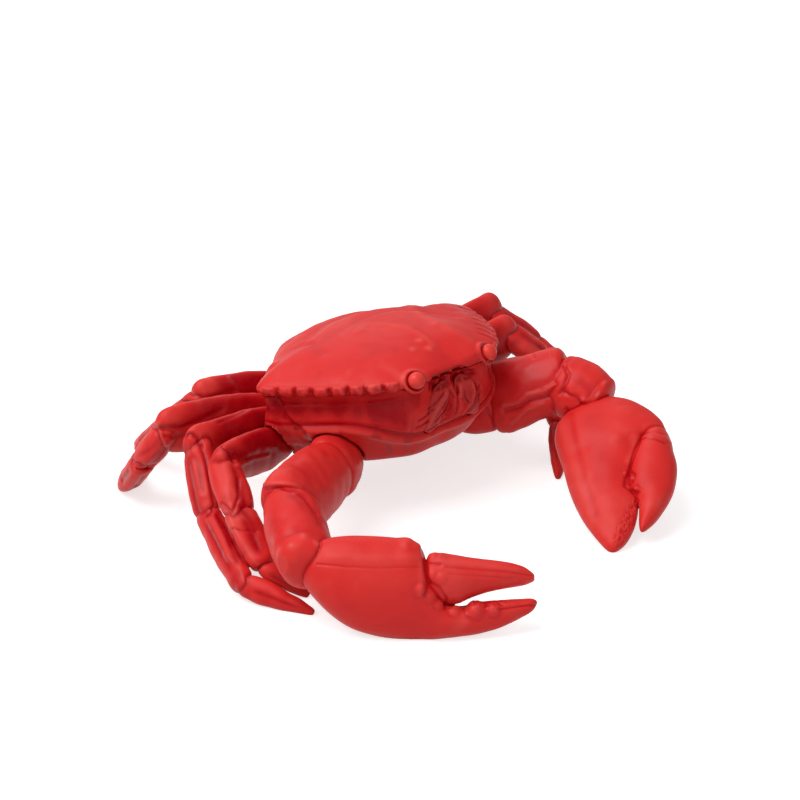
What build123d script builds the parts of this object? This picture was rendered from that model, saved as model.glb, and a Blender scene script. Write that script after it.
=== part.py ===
from build123d import *
import os

os.makedirs("parts", exist_ok=True)

# Driving sizes in millimetres. The crab faces -Y, its right side is -X, and it stands on z = 0.
carapace_width = 120.0
glue_gap = 0.25
body_tilt = 6.5

# Body sizes. The stance is where the middle of the shell stands.
dome_height = 13.0
margin_drop = 3.5
body_depth = 32.0
body_height = 54.0
stance_x = 3.7
stance_y = 27.7

# Claw sizes. The finger opens away from a palm that carries the fixed finger.
palm_length = 81.0
palm_height = 36.5
palm_thick = 20.0
arm_height = 27.0
arm_thick = 20.0
wrist_height = 26.0
wrist_thick = 22.0
shoulder_height = 25.0
shoulder_thick = 18.0
molar_radius = 2.6
boss_radius = 3.4

# Walking leg sizes. The legs stand side by side along the shell, so they keep pace with its width.
thigh_height = carapace_width * 0.146
thigh_thick = carapace_width * 0.075
knee_height = carapace_width * 0.092
knee_thick = carapace_width * 0.075
shin_height = carapace_width * 0.073
shin_thick = carapace_width * 0.058
toe_height = carapace_width * 0.071
toe_thick = carapace_width * 0.05

# Face and underside sizes.
eye_radius = 3.4
eye_socket_radius = 4.3
eye_ring_radius = 5.6
tooth_radius = 3.3
mouth_length = 20.0
mouth_width = 10.0
mouth_thick = 5.0
apron_length = 34.0
apron_width = 16.0
apron_thick = 3.0

# Every place below is a share of the carapace width, across, back and up from the ground
# under the middle of the shell.
right_claw_shares = ((-0.28, -0.18, 0.21), (-0.42, -0.26, 0.22), (-0.73, -0.41, 0.25), (-0.89, -0.65, 0.186))
left_claw_shares = ((0.26, -0.17, 0.19), (0.35, -0.26, 0.23), (0.48, -0.44, 0.315), (0.517, -0.592, 0.258))
right_leg_shares = (
    ((-0.33, 0.01, 0.21), (-0.72, -0.09, 0.285), (-0.79, -0.245, 0.185), (-0.836, -0.405, 0.084), (-0.775, -0.535, 0.006)),
    ((-0.27, 0.08, 0.24), (-0.69, 0.07, 0.29), (-0.785, -0.085, 0.13), (-0.925, -0.405, 0.052), (-0.84, -0.625, 0.006)),
    ((-0.21, 0.14, 0.23), (-0.66, 0.24, 0.28), (-0.71, 0.31, 0.17), (-0.70, 0.40, 0.07), (-0.58, 0.55, 0.006)),
    ((-0.15, 0.20, 0.28), (-0.46, 0.31, 0.31), (-0.52, 0.42, 0.20), (-0.50, 0.56, 0.09), (-0.42, 0.70, 0.006)),
)
left_leg_shares = (
    ((0.33, 0.01, 0.21), (0.655, -0.045, 0.325), (0.73, -0.14, 0.24), (0.58, -0.36, 0.09), (0.39, -0.52, 0.006)),
    ((0.26, 0.095, 0.24), (0.69, 0.07, 0.36), (0.815, -0.035, 0.245), (0.86, -0.30, 0.08), (0.74, -0.52, 0.006)),
    ((0.21, 0.15, 0.23), (0.66, 0.25, 0.28), (0.75, 0.34, 0.17), (0.72, 0.46, 0.07), (0.60, 0.62, 0.006)),
    ((0.15, 0.20, 0.28), (0.46, 0.31, 0.31), (0.52, 0.42, 0.20), (0.50, 0.56, 0.09), (0.42, 0.70, 0.006)),
)
# How much stouter than the common size each piece is: a row for each leg from the front one to the
# back one, with its thigh, knee, shin and toe. A piece grows half as much in thickness.
leg_stout_shares = {
    "right": ((1.05, 1.25, 1.45, 1.2), (1.05, 1.15, 1.2, 1.1), (1.3, 1.5, 1.75, 1.75), (1.1, 1.2, 1.3, 1.3)),
    "left": ((1.25, 1.3, 1.25, 1.2), (1.35, 1.35, 1.25, 1.2), (1.25, 1.2, 1.2, 1.2), (1.15, 1.1, 1.1, 1.1)),
}


def place(shares):
    """A point of the crab from its shares of the carapace width."""
    across, back, up = shares
    return Vector(
        stance_x + across * carapace_width, stance_y + back * carapace_width, up * carapace_width
    )


def body_plane(lift):
    """A level of the tilted body, measured up from the margin of the shell."""
    margin = Plane(origin=(stance_x, stance_y, body_height), x_dir=(1, 0, 0), z_dir=(0, 0, 1))
    return margin.rotated((-body_tilt, 0, 0)).offset(lift)


# Stations along a limb piece: how far along it, then its height and its thickness there.
arm_station_shares = (
    (-0.10, 0.30, 0.30), (-0.05, 0.58, 0.60), (0.08, 0.80, 0.84), (0.30, 0.95, 0.97),
    (0.60, 1.00, 1.00), (0.85, 0.99, 0.98), (1.02, 0.95, 0.92), (1.14, 0.72, 0.70), (1.19, 0.40, 0.40),
)
shoulder_station_shares = (
    (-0.20, 0.60, 0.60), (0.20, 0.90, 0.90), (0.60, 1.00, 1.00), (1.00, 0.98, 0.98), (1.25, 0.75, 0.75),
)
wrist_station_shares = (
    (-0.16, 0.30, 0.30), (-0.10, 0.60, 0.60), (0.06, 0.86, 0.86), (0.30, 0.99, 1.00),
    (0.60, 1.00, 1.00), (0.86, 0.90, 0.90), (1.05, 0.66, 0.70), (1.12, 0.36, 0.40),
)
thigh_station_shares = (
    (-0.06, 0.42, 0.50), (0.10, 0.66, 0.74), (0.30, 0.92, 0.96), (0.55, 1.00, 1.00),
    (0.80, 0.94, 0.96), (0.95, 0.82, 0.90), (1.06, 0.62, 0.74), (1.13, 0.30, 0.36),
)
knee_station_shares = (
    (-0.16, 0.30, 0.34), (-0.08, 0.60, 0.66), (0.12, 0.84, 0.88), (0.45, 1.00, 1.00),
    (0.80, 0.94, 0.96), (1.02, 0.78, 0.84), (1.14, 0.44, 0.50),
)
shin_station_shares = (
    (-0.12, 0.30, 0.34), (-0.05, 0.62, 0.66), (0.15, 0.86, 0.90), (0.45, 1.00, 1.00),
    (0.75, 0.90, 0.94), (0.98, 0.70, 0.80), (1.09, 0.36, 0.44),
)
toe_station_shares = (
    (-0.12, 0.30, 0.34), (-0.04, 0.64, 0.68), (0.18, 0.96, 0.96), (0.40, 0.92, 0.94),
    (0.65, 0.68, 0.78), (0.88, 0.42, 0.52), (1.00, 0.24, 0.30),
)


# A seat is cut with the oval turned half round, so that its seam and the seam of the piece
# in it lie on opposite sides.
seat_turn = 180


def add_segment(start, end, hinge, high, thick, station_shares, grow=0, mode=Mode.ADD):
    """One limb piece, lofted through ovals that stand square to the line from start to end."""
    run = end - start
    ovals = []
    for along, high_share, thick_share in station_shares:
        half_thick = thick * thick_share / 2 + grow
        half_high = high * high_share / 2 + grow
        with BuildSketch(Plane(origin=start + run * along, x_dir=hinge, z_dir=run)) as oval:
            Ellipse(half_thick, half_high, rotation=seat_turn if grow else 0)
        ovals.append(oval.sketch.face())
    loft(sections=ovals, mode=mode)


def leg_hinges(knuckles):
    """The line each hinge of a leg turns about: level for the thigh, then square to the bent leg."""
    thigh_hinge = (knuckles[1] - knuckles[0]).cross(Vector(0, 0, 1)).normalized()
    bend_hinge = (knuckles[2] - knuckles[1]).cross(knuckles[4] - knuckles[2]).normalized()
    return (thigh_hinge, bend_hinge, bend_hinge, bend_hinge)


leg_pieces = (
    ("thigh", thigh_height, thigh_thick, thigh_station_shares),
    ("knee", knee_height, knee_thick, knee_station_shares),
    ("shin", shin_height, shin_thick, shin_station_shares),
    ("toe", toe_height, toe_thick, toe_station_shares),
)
legs = {}
leg_stoutness = {}
for side, side_shares in (("right", right_leg_shares), ("left", left_leg_shares)):
    for number, knuckle_shares in enumerate(side_shares):
        leg_name = f"{side}_leg_{number + 1}"
        legs[leg_name] = [place(shares) for shares in knuckle_shares]
        leg_stoutness[leg_name] = leg_stout_shares[side][number]


def add_leg_piece(leg_name, step, grow=0, mode=Mode.ADD):
    """One piece of a walking leg, counted from the body outwards."""
    knuckles = legs[leg_name]
    piece_name, high, thick, station_shares = leg_pieces[step]
    stout = leg_stoutness[leg_name][step]
    thick_stout = (1 + stout) / 2
    add_segment(
        knuckles[step], knuckles[step + 1], leg_hinges(knuckles)[step], high * stout, thick * thick_stout,
        station_shares, grow=grow, mode=mode,
    )


right_claw = [place(shares) for shares in right_claw_shares]
left_claw = [place(shares) for shares in left_claw_shares]
claws = {"right": right_claw, "left": left_claw}
claw_hinges = {"right": Vector(0.35, -0.75, 0.45), "left": Vector(-0.75, -0.35, 0.55)}

# Palm frames: the wrist point, the way the fixed finger points and the way the finger side faces.
palm_frames = {
    "right": Plane(origin=right_claw[3], x_dir=(0.70, -0.71, 0), z_dir=(-0.646, -0.636, 0.423)),
    "left": Plane(origin=left_claw[3], x_dir=(-0.50, -0.80, -0.335), z_dir=(-0.44, -0.10, 0.89)),
}
# Along the palm, its lower edge, its upper edge and its thickness, all as shares of the palm sizes.
palm_station_shares = {
    "right": (
        (-0.03, 0.58, 0.82, 0.34), (0.01, 0.46, 0.90, 0.58), (0.08, 0.29, 0.97, 0.80), (0.17, 0.14, 1.00, 0.95),
        (0.28, 0.05, 1.00, 1.00), (0.38, 0.01, 0.985, 0.98), (0.46, 0.00, 0.96, 0.92), (0.505, 0.00, 0.86, 0.86),
        (0.545, 0.00, 0.60, 0.78), (0.59, 0.01, 0.40, 0.68), (0.66, 0.03, 0.33, 0.58), (0.75, 0.06, 0.365, 0.50),
        (0.85, 0.13, 0.385, 0.42), (0.93, 0.21, 0.395, 0.32), (0.985, 0.29, 0.395, 0.18), (1.00, 0.33, 0.385, 0.10),
    ),
    "left": (
        (-0.03, 0.34, 0.60, 0.34), (0.01, 0.10, 0.68, 0.60), (0.06, -0.04, 0.82, 0.80), (0.12, -0.11, 0.91, 0.93),
        (0.20, -0.14, 1.00, 1.00), (0.28, -0.145, 1.04, 1.00), (0.335, -0.15, 1.00, 0.95),
        (0.375, -0.155, 0.88, 0.90), (0.42, -0.165, 0.78, 0.86), (0.50, -0.175, 0.69, 0.80),
        (0.60, -0.17, 0.58, 0.72), (0.69, -0.15, 0.49, 0.62), (0.77, -0.115, 0.40, 0.52),
        (0.84, -0.075, 0.295, 0.41), (0.89, -0.04, 0.19, 0.30), (0.92, -0.01, 0.09, 0.15),
    ),
}
finger_station_shares = {
    "right": (
        (0.49, 0.54, 0.68, 0.30), (0.52, 0.42, 0.79, 0.56), (0.57, 0.35, 0.835, 0.72), (0.64, 0.335, 0.82, 0.72),
        (0.70, 0.39, 0.797, 0.64), (0.76, 0.44, 0.78, 0.56), (0.83, 0.48, 0.762, 0.48), (0.90, 0.505, 0.735, 0.39),
        (0.955, 0.53, 0.69, 0.28), (0.99, 0.565, 0.63, 0.13),
    ),
    "left": (
        (0.29, 0.86, 0.97, 0.30), (0.325, 0.80, 1.03, 0.56), (0.38, 0.745, 1.045, 0.70), (0.45, 0.70, 1.02, 0.74),
        (0.54, 0.635, 0.995, 0.70), (0.62, 0.555, 0.93, 0.62), (0.70, 0.47, 0.83, 0.52), (0.77, 0.41, 0.69, 0.41),
        (0.825, 0.375, 0.55, 0.28), (0.86, 0.36, 0.42, 0.13),
    ),
}
palm_wrist_shares = {"right": 0.70, "left": 0.50}
# Rounded crushing teeth and hinge bosses: along, up and out on the palm, then a share of the radius.
molar_spot_shares = {
    "right": ((0.73, 0.31, 0.15, 1.0), (0.80, 0.31, 0.12, 0.7), (0.665, 0.27, 0.17, 0.75)),
    "left": ((0.52, 0.64, 0.10, 0.8), (0.62, 0.55, 0.10, 0.9), (0.71, 0.46, 0.10, 0.8)),
}
boss_spot_shares = {
    "right": ((0.465, 0.49, 0.35, 1.0), (0.50, 0.32, 0.32, 0.8), (0.48, 0.74, 0.27, 0.8)),
    "left": ((0.34, 0.80, 0.32, 1.0), (0.36, 0.68, 0.33, 0.8), (0.31, 0.93, 0.25, 0.8)),
}


def add_palm_run(side, station_shares, grow=0, mode=Mode.ADD):
    """A palm or a finger, lofted through ovals that stand across the long way of the palm."""
    frame = palm_frames[side]
    ovals = []
    for along, low_share, high_share, thick_share in station_shares:
        middle = (low_share + high_share) / 2 - palm_wrist_shares[side]
        centre = frame.origin + frame.x_dir * (along * palm_length) + frame.y_dir * (middle * palm_height)
        with BuildSketch(Plane(origin=centre, x_dir=frame.z_dir, z_dir=frame.x_dir)) as oval:
            Ellipse(
                thick_share * palm_thick / 2 + grow,
                (high_share - low_share) * palm_height / 2 + grow,
                rotation=seat_turn if grow else 0,
            )
        ovals.append(oval.sketch.face())
    loft(sections=ovals, mode=mode)


def palm_spot(side, along_share, up_share, out_share):
    """A place on a palm from shares of its length, height and thickness."""
    frame = palm_frames[side]
    return (
        frame.origin
        + frame.x_dir * (along_share * palm_length)
        + frame.y_dir * ((up_share - palm_wrist_shares[side]) * palm_height)
        + frame.z_dir * (out_share * palm_thick)
    )


# Shell outline: half of it from the middle of the brow round to the middle of the back edge.
outline_shares = (
    (0.00, -0.402), (0.09, -0.405), (0.17, -0.392), (0.235, -0.36), (0.30, -0.305), (0.362, -0.235),
    (0.42, -0.152), (0.467, -0.068), (0.492, 0.004), (0.43, 0.065), (0.33, 0.142), (0.23, 0.215),
    (0.14, 0.258), (0.00, 0.272),
)
tooth_place_shares = (
    (0.240, -0.357), (0.281, -0.322), (0.320, -0.282), (0.356, -0.239), (0.390, -0.193), (0.421, -0.144),
    (0.449, -0.094), (0.473, -0.043),
)
dome_centre_share = -0.07
dome_level_shares = (
    (0.985, 0.06), (0.94, 0.19), (0.82, 0.42), (0.65, 0.66), (0.45, 0.84), (0.25, 0.95), (0.10, 0.99),
    (0.02, 1.00),
)


def shell_level(lift, scale_share):
    """A face across the tilted body at one level, the shell outline at a share of its full size."""
    right_half = [(-x, y) for x, y in outline_shares[1:-1]]
    size = carapace_width * scale_share
    shift = carapace_width * dome_centre_share * (1 - scale_share)
    ring = [(x * size, y * size + shift) for x, y in list(outline_shares) + right_half[::-1]]
    with BuildSketch(body_plane(lift)) as level:
        with BuildLine():
            Spline(*ring, periodic=True)
        make_face()
    return level.sketch.face()


def body_spot(across_share, back_share, lift):
    """A place on the tilted body, across and back in shares of the width, up from the margin."""
    return body_plane(lift).from_local_coords(
        (across_share * carapace_width, back_share * carapace_width, 0)
    )


# Carapace: one domed shell casting, its front margins cut into rounded teeth.
eye_across_share = 0.172
eye_back_share = -0.392
socket_back_share = -0.422
eye_ball_back_share = -0.427
with BuildPart() as carapace:
    levels = [shell_level(-margin_drop, 0.965), shell_level(-margin_drop / 3, 0.997)]
    for scale_share, lift_share in dome_level_shares:
        levels.append(shell_level(dome_height * lift_share, scale_share))
    loft(sections=levels)
    for mirror in (-1, 1):
        with Locations(*[body_spot(mirror * x, y, -margin_drop / 3) for x, y in tooth_place_shares]):
            Sphere(tooth_radius)
    split(bisect_by=body_plane(-margin_drop), keep=Keep.TOP)
    for mirror in (-1, 1):
        with Locations(body_spot(mirror * eye_across_share, eye_back_share, 0)):
            Sphere(eye_ring_radius)
    for mirror in (-1, 1):
        with Locations(body_spot(mirror * eye_across_share, socket_back_share, eye_radius / 4)):
            Sphere(eye_socket_radius, mode=Mode.SUBTRACT)
carapace.part.label = "carapace"
export_step(carapace.part, "parts/carapace.step")


# Eyes: one bead on a short stalk for each ring of the shell.
for side, mirror in (("right", -1), ("left", 1)):
    with BuildPart() as eye:
        with Locations(body_spot(mirror * eye_across_share, eye_ball_back_share, eye_radius / 4)):
            Sphere(eye_radius)
    eye.part.label = f"{side}_eye"
    export_step(eye.part, f"parts/{side}_eye.step")


leaf_station_shares = (
    (-0.06, 0.26, 0.30), (0.04, 0.58, 0.62), (0.28, 0.95, 0.98), (0.58, 1.00, 1.00), (0.84, 0.72, 0.84),
    (1.00, 0.30, 0.40),
)
mouth_top_shares = (0.035, -0.385)
mouth_foot_shares = (0.115, -0.368)


def add_mouth_plate(mirror, grow=0, mode=Mode.ADD):
    """One leaf of the mouth, leaning outwards down the front of the body."""
    top = body_spot(mirror * mouth_top_shares[0], mouth_top_shares[1], -2 * margin_drop)
    foot = body_spot(mirror * mouth_foot_shares[0], mouth_foot_shares[1], -margin_drop - mouth_length)
    add_segment(
        top, foot, Vector(0, -1, 0), mouth_width, mouth_thick, leaf_station_shares, grow=grow, mode=mode
    )


apron_outline_shares = (
    (-0.50, 0.0), (-0.46, 0.30), (-0.22, 0.75), (-0.13, 0.97), (0.13, 0.97), (0.22, 0.75), (0.46, 0.30), (0.50, 0.0),
)
apron_back_share = 0.155


def add_apron(grow=0, mode=Mode.ADD):
    """The tail flap, a tongue narrowing forwards, half sunk in the flat of the breastplate."""
    with BuildSketch(body_plane(-margin_drop - body_depth + apron_thick / 2 + grow)) as flap:
        with BuildLine():
            Polyline(
                *[
                    (x * apron_width, apron_back_share * carapace_width - y * apron_length)
                    for x, y in apron_outline_shares
                ],
                close=True,
            )
        make_face()
        fillet(flap.vertices(), apron_width / 10)
        if grow:
            offset(amount=grow)
    extrude(flap.sketch, amount=-apron_thick - 2 * grow, mode=mode)


# Mouth plates: the pair of leaf-shaped plates that close the mouth between the eyes.
for side, mirror in (("right", -1), ("left", 1)):
    with BuildPart() as mouth_plate:
        add_mouth_plate(mirror)
    mouth_plate.part.label = f"{side}_mouth_plate"
    export_step(mouth_plate.part, f"parts/{side}_mouth_plate.step")

# Apron: the tail flap folded under the body.
with BuildPart() as apron:
    add_apron()
apron.part.label = "apron"
export_step(apron.part, "parts/apron.step")

# Underbody: the walls below the shell and the breastplate, one casting with a seat for each limb.
underbody_level_shares = (
    (0.965, 0.0), (0.965, 0.30), (0.945, 0.55), (0.875, 0.70), (0.795, 0.84), (0.66, 1.0),
)
with BuildPart() as underbody:
    levels = []
    for scale_share, depth_share in underbody_level_shares:
        levels.append(shell_level(-margin_drop - depth_share * body_depth, scale_share))
    loft(sections=levels)
    for mirror in (-1, 1):
        add_mouth_plate(mirror, grow=glue_gap, mode=Mode.SUBTRACT)
        with Locations(body_spot(mirror * eye_across_share, eye_back_share, 0)):
            Sphere(eye_ring_radius + glue_gap, mode=Mode.SUBTRACT)
    add_apron(grow=glue_gap, mode=Mode.SUBTRACT)
    for leg_name in legs:
        add_leg_piece(leg_name, 0, grow=glue_gap, mode=Mode.SUBTRACT)
    for side, knuckles in claws.items():
        add_segment(
            knuckles[0], knuckles[1], claw_hinges[side], shoulder_height, shoulder_thick,
            shoulder_station_shares, grow=glue_gap, mode=Mode.SUBTRACT,
        )
        add_segment(
            knuckles[1], knuckles[2], claw_hinges[side], arm_height, arm_thick,
            arm_station_shares, grow=glue_gap, mode=Mode.SUBTRACT,
        )
underbody.part.label = "underbody"
export_step(underbody.part, "parts/underbody.step")

# Claws: shoulder, arm and wrist, each glued into the end of the piece before it.
for side, knuckles in claws.items():
    hinge = claw_hinges[side]
    with BuildPart() as shoulder:
        add_segment(
            knuckles[0], knuckles[1], hinge, shoulder_height, shoulder_thick, shoulder_station_shares
        )
        add_segment(
            knuckles[1], knuckles[2], hinge, arm_height, arm_thick, arm_station_shares,
            grow=glue_gap, mode=Mode.SUBTRACT,
        )
    shoulder.part.label = f"{side}_claw_shoulder"
    export_step(shoulder.part, f"parts/{side}_claw_shoulder.step")

    with BuildPart() as arm:
        add_segment(knuckles[1], knuckles[2], hinge, arm_height, arm_thick, arm_station_shares)
        add_segment(
            knuckles[2], knuckles[3], hinge, wrist_height, wrist_thick, wrist_station_shares,
            grow=glue_gap, mode=Mode.SUBTRACT,
        )
    arm.part.label = f"{side}_claw_arm"
    export_step(arm.part, f"parts/{side}_claw_arm.step")

    with BuildPart() as wrist:
        add_segment(knuckles[2], knuckles[3], hinge, wrist_height, wrist_thick, wrist_station_shares)
        add_palm_run(side, palm_station_shares[side], grow=glue_gap, mode=Mode.SUBTRACT)
    wrist.part.label = f"{side}_claw_wrist"
    export_step(wrist.part, f"parts/{side}_claw_wrist.step")

    with BuildPart() as palm:
        add_palm_run(side, palm_station_shares[side])
        for along, up, out, radius_share in molar_spot_shares[side]:
            with Locations(palm_spot(side, along, up, out)):
                Sphere(molar_radius * radius_share)
        for along, up, out, radius_share in boss_spot_shares[side]:
            with Locations(palm_spot(side, along, up, out)):
                Sphere(boss_radius * radius_share)
        add_palm_run(side, finger_station_shares[side], grow=glue_gap, mode=Mode.SUBTRACT)
        split(bisect_by=Plane.XY, keep=Keep.TOP)
    palm.part.label = f"{side}_claw_palm"
    export_step(palm.part, f"parts/{side}_claw_palm.step")

    with BuildPart() as finger:
        add_palm_run(side, finger_station_shares[side])
    finger.part.label = f"{side}_claw_finger"
    export_step(finger.part, f"parts/{side}_claw_finger.step")


# Walking legs: four pieces each, every one seated in the cupped end of the one before it.
for leg_name in legs:
    for step, leg_piece_row in enumerate(leg_pieces):
        with BuildPart() as leg_piece:
            add_leg_piece(leg_name, step)
            if step + 1 < len(leg_pieces):
                add_leg_piece(leg_name, step + 1, grow=glue_gap, mode=Mode.SUBTRACT)
            else:
                split(bisect_by=Plane.XY, keep=Keep.TOP)
        leg_piece.part.label = f"{leg_name}_{leg_piece_row[0]}"
        export_step(leg_piece.part, f"parts/{leg_name}_{leg_piece_row[0]}.step")
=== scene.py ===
import bpy
import numpy as np
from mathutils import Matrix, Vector, noise
from mathutils.bvhtree import BVHTree


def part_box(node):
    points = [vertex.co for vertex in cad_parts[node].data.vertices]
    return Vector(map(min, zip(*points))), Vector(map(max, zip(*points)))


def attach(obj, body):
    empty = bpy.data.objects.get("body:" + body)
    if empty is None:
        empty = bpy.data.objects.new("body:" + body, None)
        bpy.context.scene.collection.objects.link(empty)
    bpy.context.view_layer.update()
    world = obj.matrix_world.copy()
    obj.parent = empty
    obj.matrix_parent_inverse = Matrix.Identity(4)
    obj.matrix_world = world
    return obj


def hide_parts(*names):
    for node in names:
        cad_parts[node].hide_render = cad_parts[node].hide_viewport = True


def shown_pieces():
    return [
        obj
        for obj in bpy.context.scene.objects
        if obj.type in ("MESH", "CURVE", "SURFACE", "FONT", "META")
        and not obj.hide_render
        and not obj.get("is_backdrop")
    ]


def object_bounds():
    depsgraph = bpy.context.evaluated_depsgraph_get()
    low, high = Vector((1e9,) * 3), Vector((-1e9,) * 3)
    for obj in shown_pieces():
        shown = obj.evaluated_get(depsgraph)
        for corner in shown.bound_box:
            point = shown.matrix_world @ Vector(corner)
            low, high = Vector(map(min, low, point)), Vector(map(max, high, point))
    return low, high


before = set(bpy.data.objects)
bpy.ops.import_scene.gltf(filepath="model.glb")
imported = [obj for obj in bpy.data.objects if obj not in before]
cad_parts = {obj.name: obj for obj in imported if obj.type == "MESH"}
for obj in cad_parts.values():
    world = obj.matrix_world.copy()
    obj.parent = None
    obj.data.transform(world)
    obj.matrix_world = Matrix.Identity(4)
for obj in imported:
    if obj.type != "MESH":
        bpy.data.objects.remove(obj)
cad_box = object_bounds()

# The table and the light: a pale matt floor that the ornament stands on, seen from its front right
# and a little above, and large soft lamps. The floor shows as white and keeps the shadow.
mm = 0.001
view_centre = Vector((7.54, 12.54, 34.0)) * mm
view_back = Vector((-0.6559, -0.6459, 0.3907))
view_distance = 900 * mm
bpy.ops.object.select_all(action="DESELECT")
bpy.ops.object.camera_add(location=view_centre + view_back * view_distance)
camera = bpy.context.object
camera.rotation_euler = view_back.to_track_quat("Z", "Y").to_euler()
camera.data.sensor_width = 36
camera.data.lens = 101.25
bpy.context.scene.camera = camera
bpy.context.scene.view_settings.view_transform = "Standard"


def math_node(tree, operation, first, second, clamp=False):
    """A math node on two values, each a number or the output of another node."""
    node = tree.nodes.new("ShaderNodeMath")
    node.operation = operation
    node.use_clamp = clamp
    for socket, value in zip(node.inputs, (first, second)):
        if isinstance(value, float):
            socket.default_value = value
        else:
            tree.links.new(value, socket)
    return node.outputs[0]


floor_size = 6.0
floor_drop = 0.05 * mm
floor_white = 0.60
floor_glow = 0.70
bpy.ops.mesh.primitive_plane_add(size=floor_size, location=(0, 0, -floor_drop))
floor = bpy.context.object
floor.name = "floor"
floor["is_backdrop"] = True
floor_finish = bpy.data.materials.new("floor_white")
floor_finish.use_nodes = True
tree = floor_finish.node_tree
shader = tree.nodes["Principled BSDF"]
shader.inputs["Base Color"].default_value = (floor_white, floor_white, floor_white, 1)
shader.inputs["Roughness"].default_value = 0.9
shader.inputs["Specular IOR Level"].default_value = 0.1
path = tree.nodes.new("ShaderNodeLightPath")
seen = math_node(tree, "MAXIMUM", path.outputs["Is Camera Ray"], path.outputs["Is Glossy Ray"])
glow = math_node(tree, "MULTIPLY", seen, floor_glow)
shader.inputs["Emission Color"].default_value = (1, 1, 1, 1)
tree.links.new(glow, shader.inputs["Emission Strength"])
floor.data.materials.append(floor_finish)

world = bpy.data.worlds.new("studio")
world.use_nodes = True
world.node_tree.nodes["Background"].inputs["Color"].default_value = (1, 1, 1, 1)
world.node_tree.nodes["Background"].inputs["Strength"].default_value = 0.30
bpy.context.scene.world = world

# Each lamp: its name, its place and its size in metres, and its power in watts.
lamps = (
    ("key_lamp", (-0.50, 0.25, 1.00), 0.9, 11.0),
    ("fill_lamp", (-0.55, -1.0, 0.60), 1.0, 2.5),
    ("back_lamp", (0.60, 0.85, 0.80), 0.8, 2.0),
)
for lamp_name, place, size, power in lamps:
    bpy.ops.object.light_add(type="AREA", location=place)
    lamp = bpy.context.object
    lamp.name = lamp_name
    lamp.data.size = size
    lamp.data.energy = power
    lamp.rotation_euler = (Vector(place) - view_centre).to_track_quat("Z", "Y").to_euler()


# Carapace: the domed shell with the rings of the eyes, one resin casting painted by hand in red with
# a dark wash. It is a ball drawn out to the shell's outline and section, joined with the two rings,
# given one even skin, and carved with the swellings, furrows and teeth of a crab's back.
def add_input(group, name, value):
    """One named number that a node group takes in."""
    socket = group.interface.new_socket(name=name, in_out="INPUT", socket_type="NodeSocketFloat")
    socket.default_value = value


def add_output(group, name):
    """One named value that a node group gives out."""
    group.interface.new_socket(name=name, in_out="OUTPUT", socket_type="NodeSocketFloat")


def wash_and_shade_group():
    """Where the dark wash in the recesses and the painted shade lie, with a ragged edge, thin on high places.
    """
    group = bpy.data.node_groups.new("wash_and_painted_shade", "ShaderNodeTree")
    add_input(group, "Spread", 1.0)
    add_input(group, "Streak Size", 140.0)
    add_output(group, "Wash And Painted Shade")
    add_output(group, "Worn")
    nodes, links = group.nodes, group.links
    given = nodes.new("NodeGroupInput")
    result = nodes.new("NodeGroupOutput")
    recess = nodes.new("ShaderNodeAttribute")
    recess.attribute_name = "recess"
    crest = nodes.new("ShaderNodeAttribute")
    crest.attribute_name = "crest"
    place = nodes.new("ShaderNodeTexCoord")
    blotch = nodes.new("ShaderNodeTexNoise")
    blotch.inputs["Detail"].default_value = 4
    links.new(place.outputs["Object"], blotch.inputs["Vector"])
    links.new(given.outputs["Streak Size"], blotch.inputs["Scale"])
    ragged = nodes.new("ShaderNodeMapRange")
    ragged.inputs["To Min"].default_value = 0.45
    ragged.inputs["To Max"].default_value = 1.45
    links.new(blotch.outputs["Fac"], ragged.inputs["Value"])
    spread = math_node(group, "MULTIPLY", recess.outputs["Fac"], given.outputs["Spread"])
    wash_and_shade = math_node(group, "MULTIPLY", spread, ragged.outputs["Result"], clamp=True)
    worn = math_node(group, "MULTIPLY", crest.outputs["Fac"], ragged.outputs["Result"], clamp=True)
    links.new(wash_and_shade, result.inputs["Wash And Painted Shade"])
    links.new(worn, result.inputs["Worn"])
    return group


def cloud_group():
    """The cloudy pale and deep patches of hand-rubbed paint."""
    group = bpy.data.node_groups.new("paint_clouds", "ShaderNodeTree")
    add_input(group, "Patch Size", 45.0)
    add_output(group, "Pale")
    add_output(group, "Deep")
    nodes, links = group.nodes, group.links
    given = nodes.new("NodeGroupInput")
    result = nodes.new("NodeGroupOutput")
    place = nodes.new("ShaderNodeTexCoord")
    cloud = nodes.new("ShaderNodeTexNoise")
    cloud.inputs["Detail"].default_value = 5
    cloud.inputs["Distortion"].default_value = 0.6
    links.new(place.outputs["Object"], cloud.inputs["Vector"])
    links.new(given.outputs["Patch Size"], cloud.inputs["Scale"])
    for name, low, high in (("Pale", 0.50, 0.78), ("Deep", 0.50, 0.24)):
        patch = nodes.new("ShaderNodeMapRange")
        patch.interpolation_type = "SMOOTHSTEP"
        patch.inputs["From Min"].default_value = low
        patch.inputs["From Max"].default_value = high
        links.new(cloud.outputs["Fac"], patch.inputs["Value"])
        links.new(patch.outputs["Result"], result.inputs[name])
    return group


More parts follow.
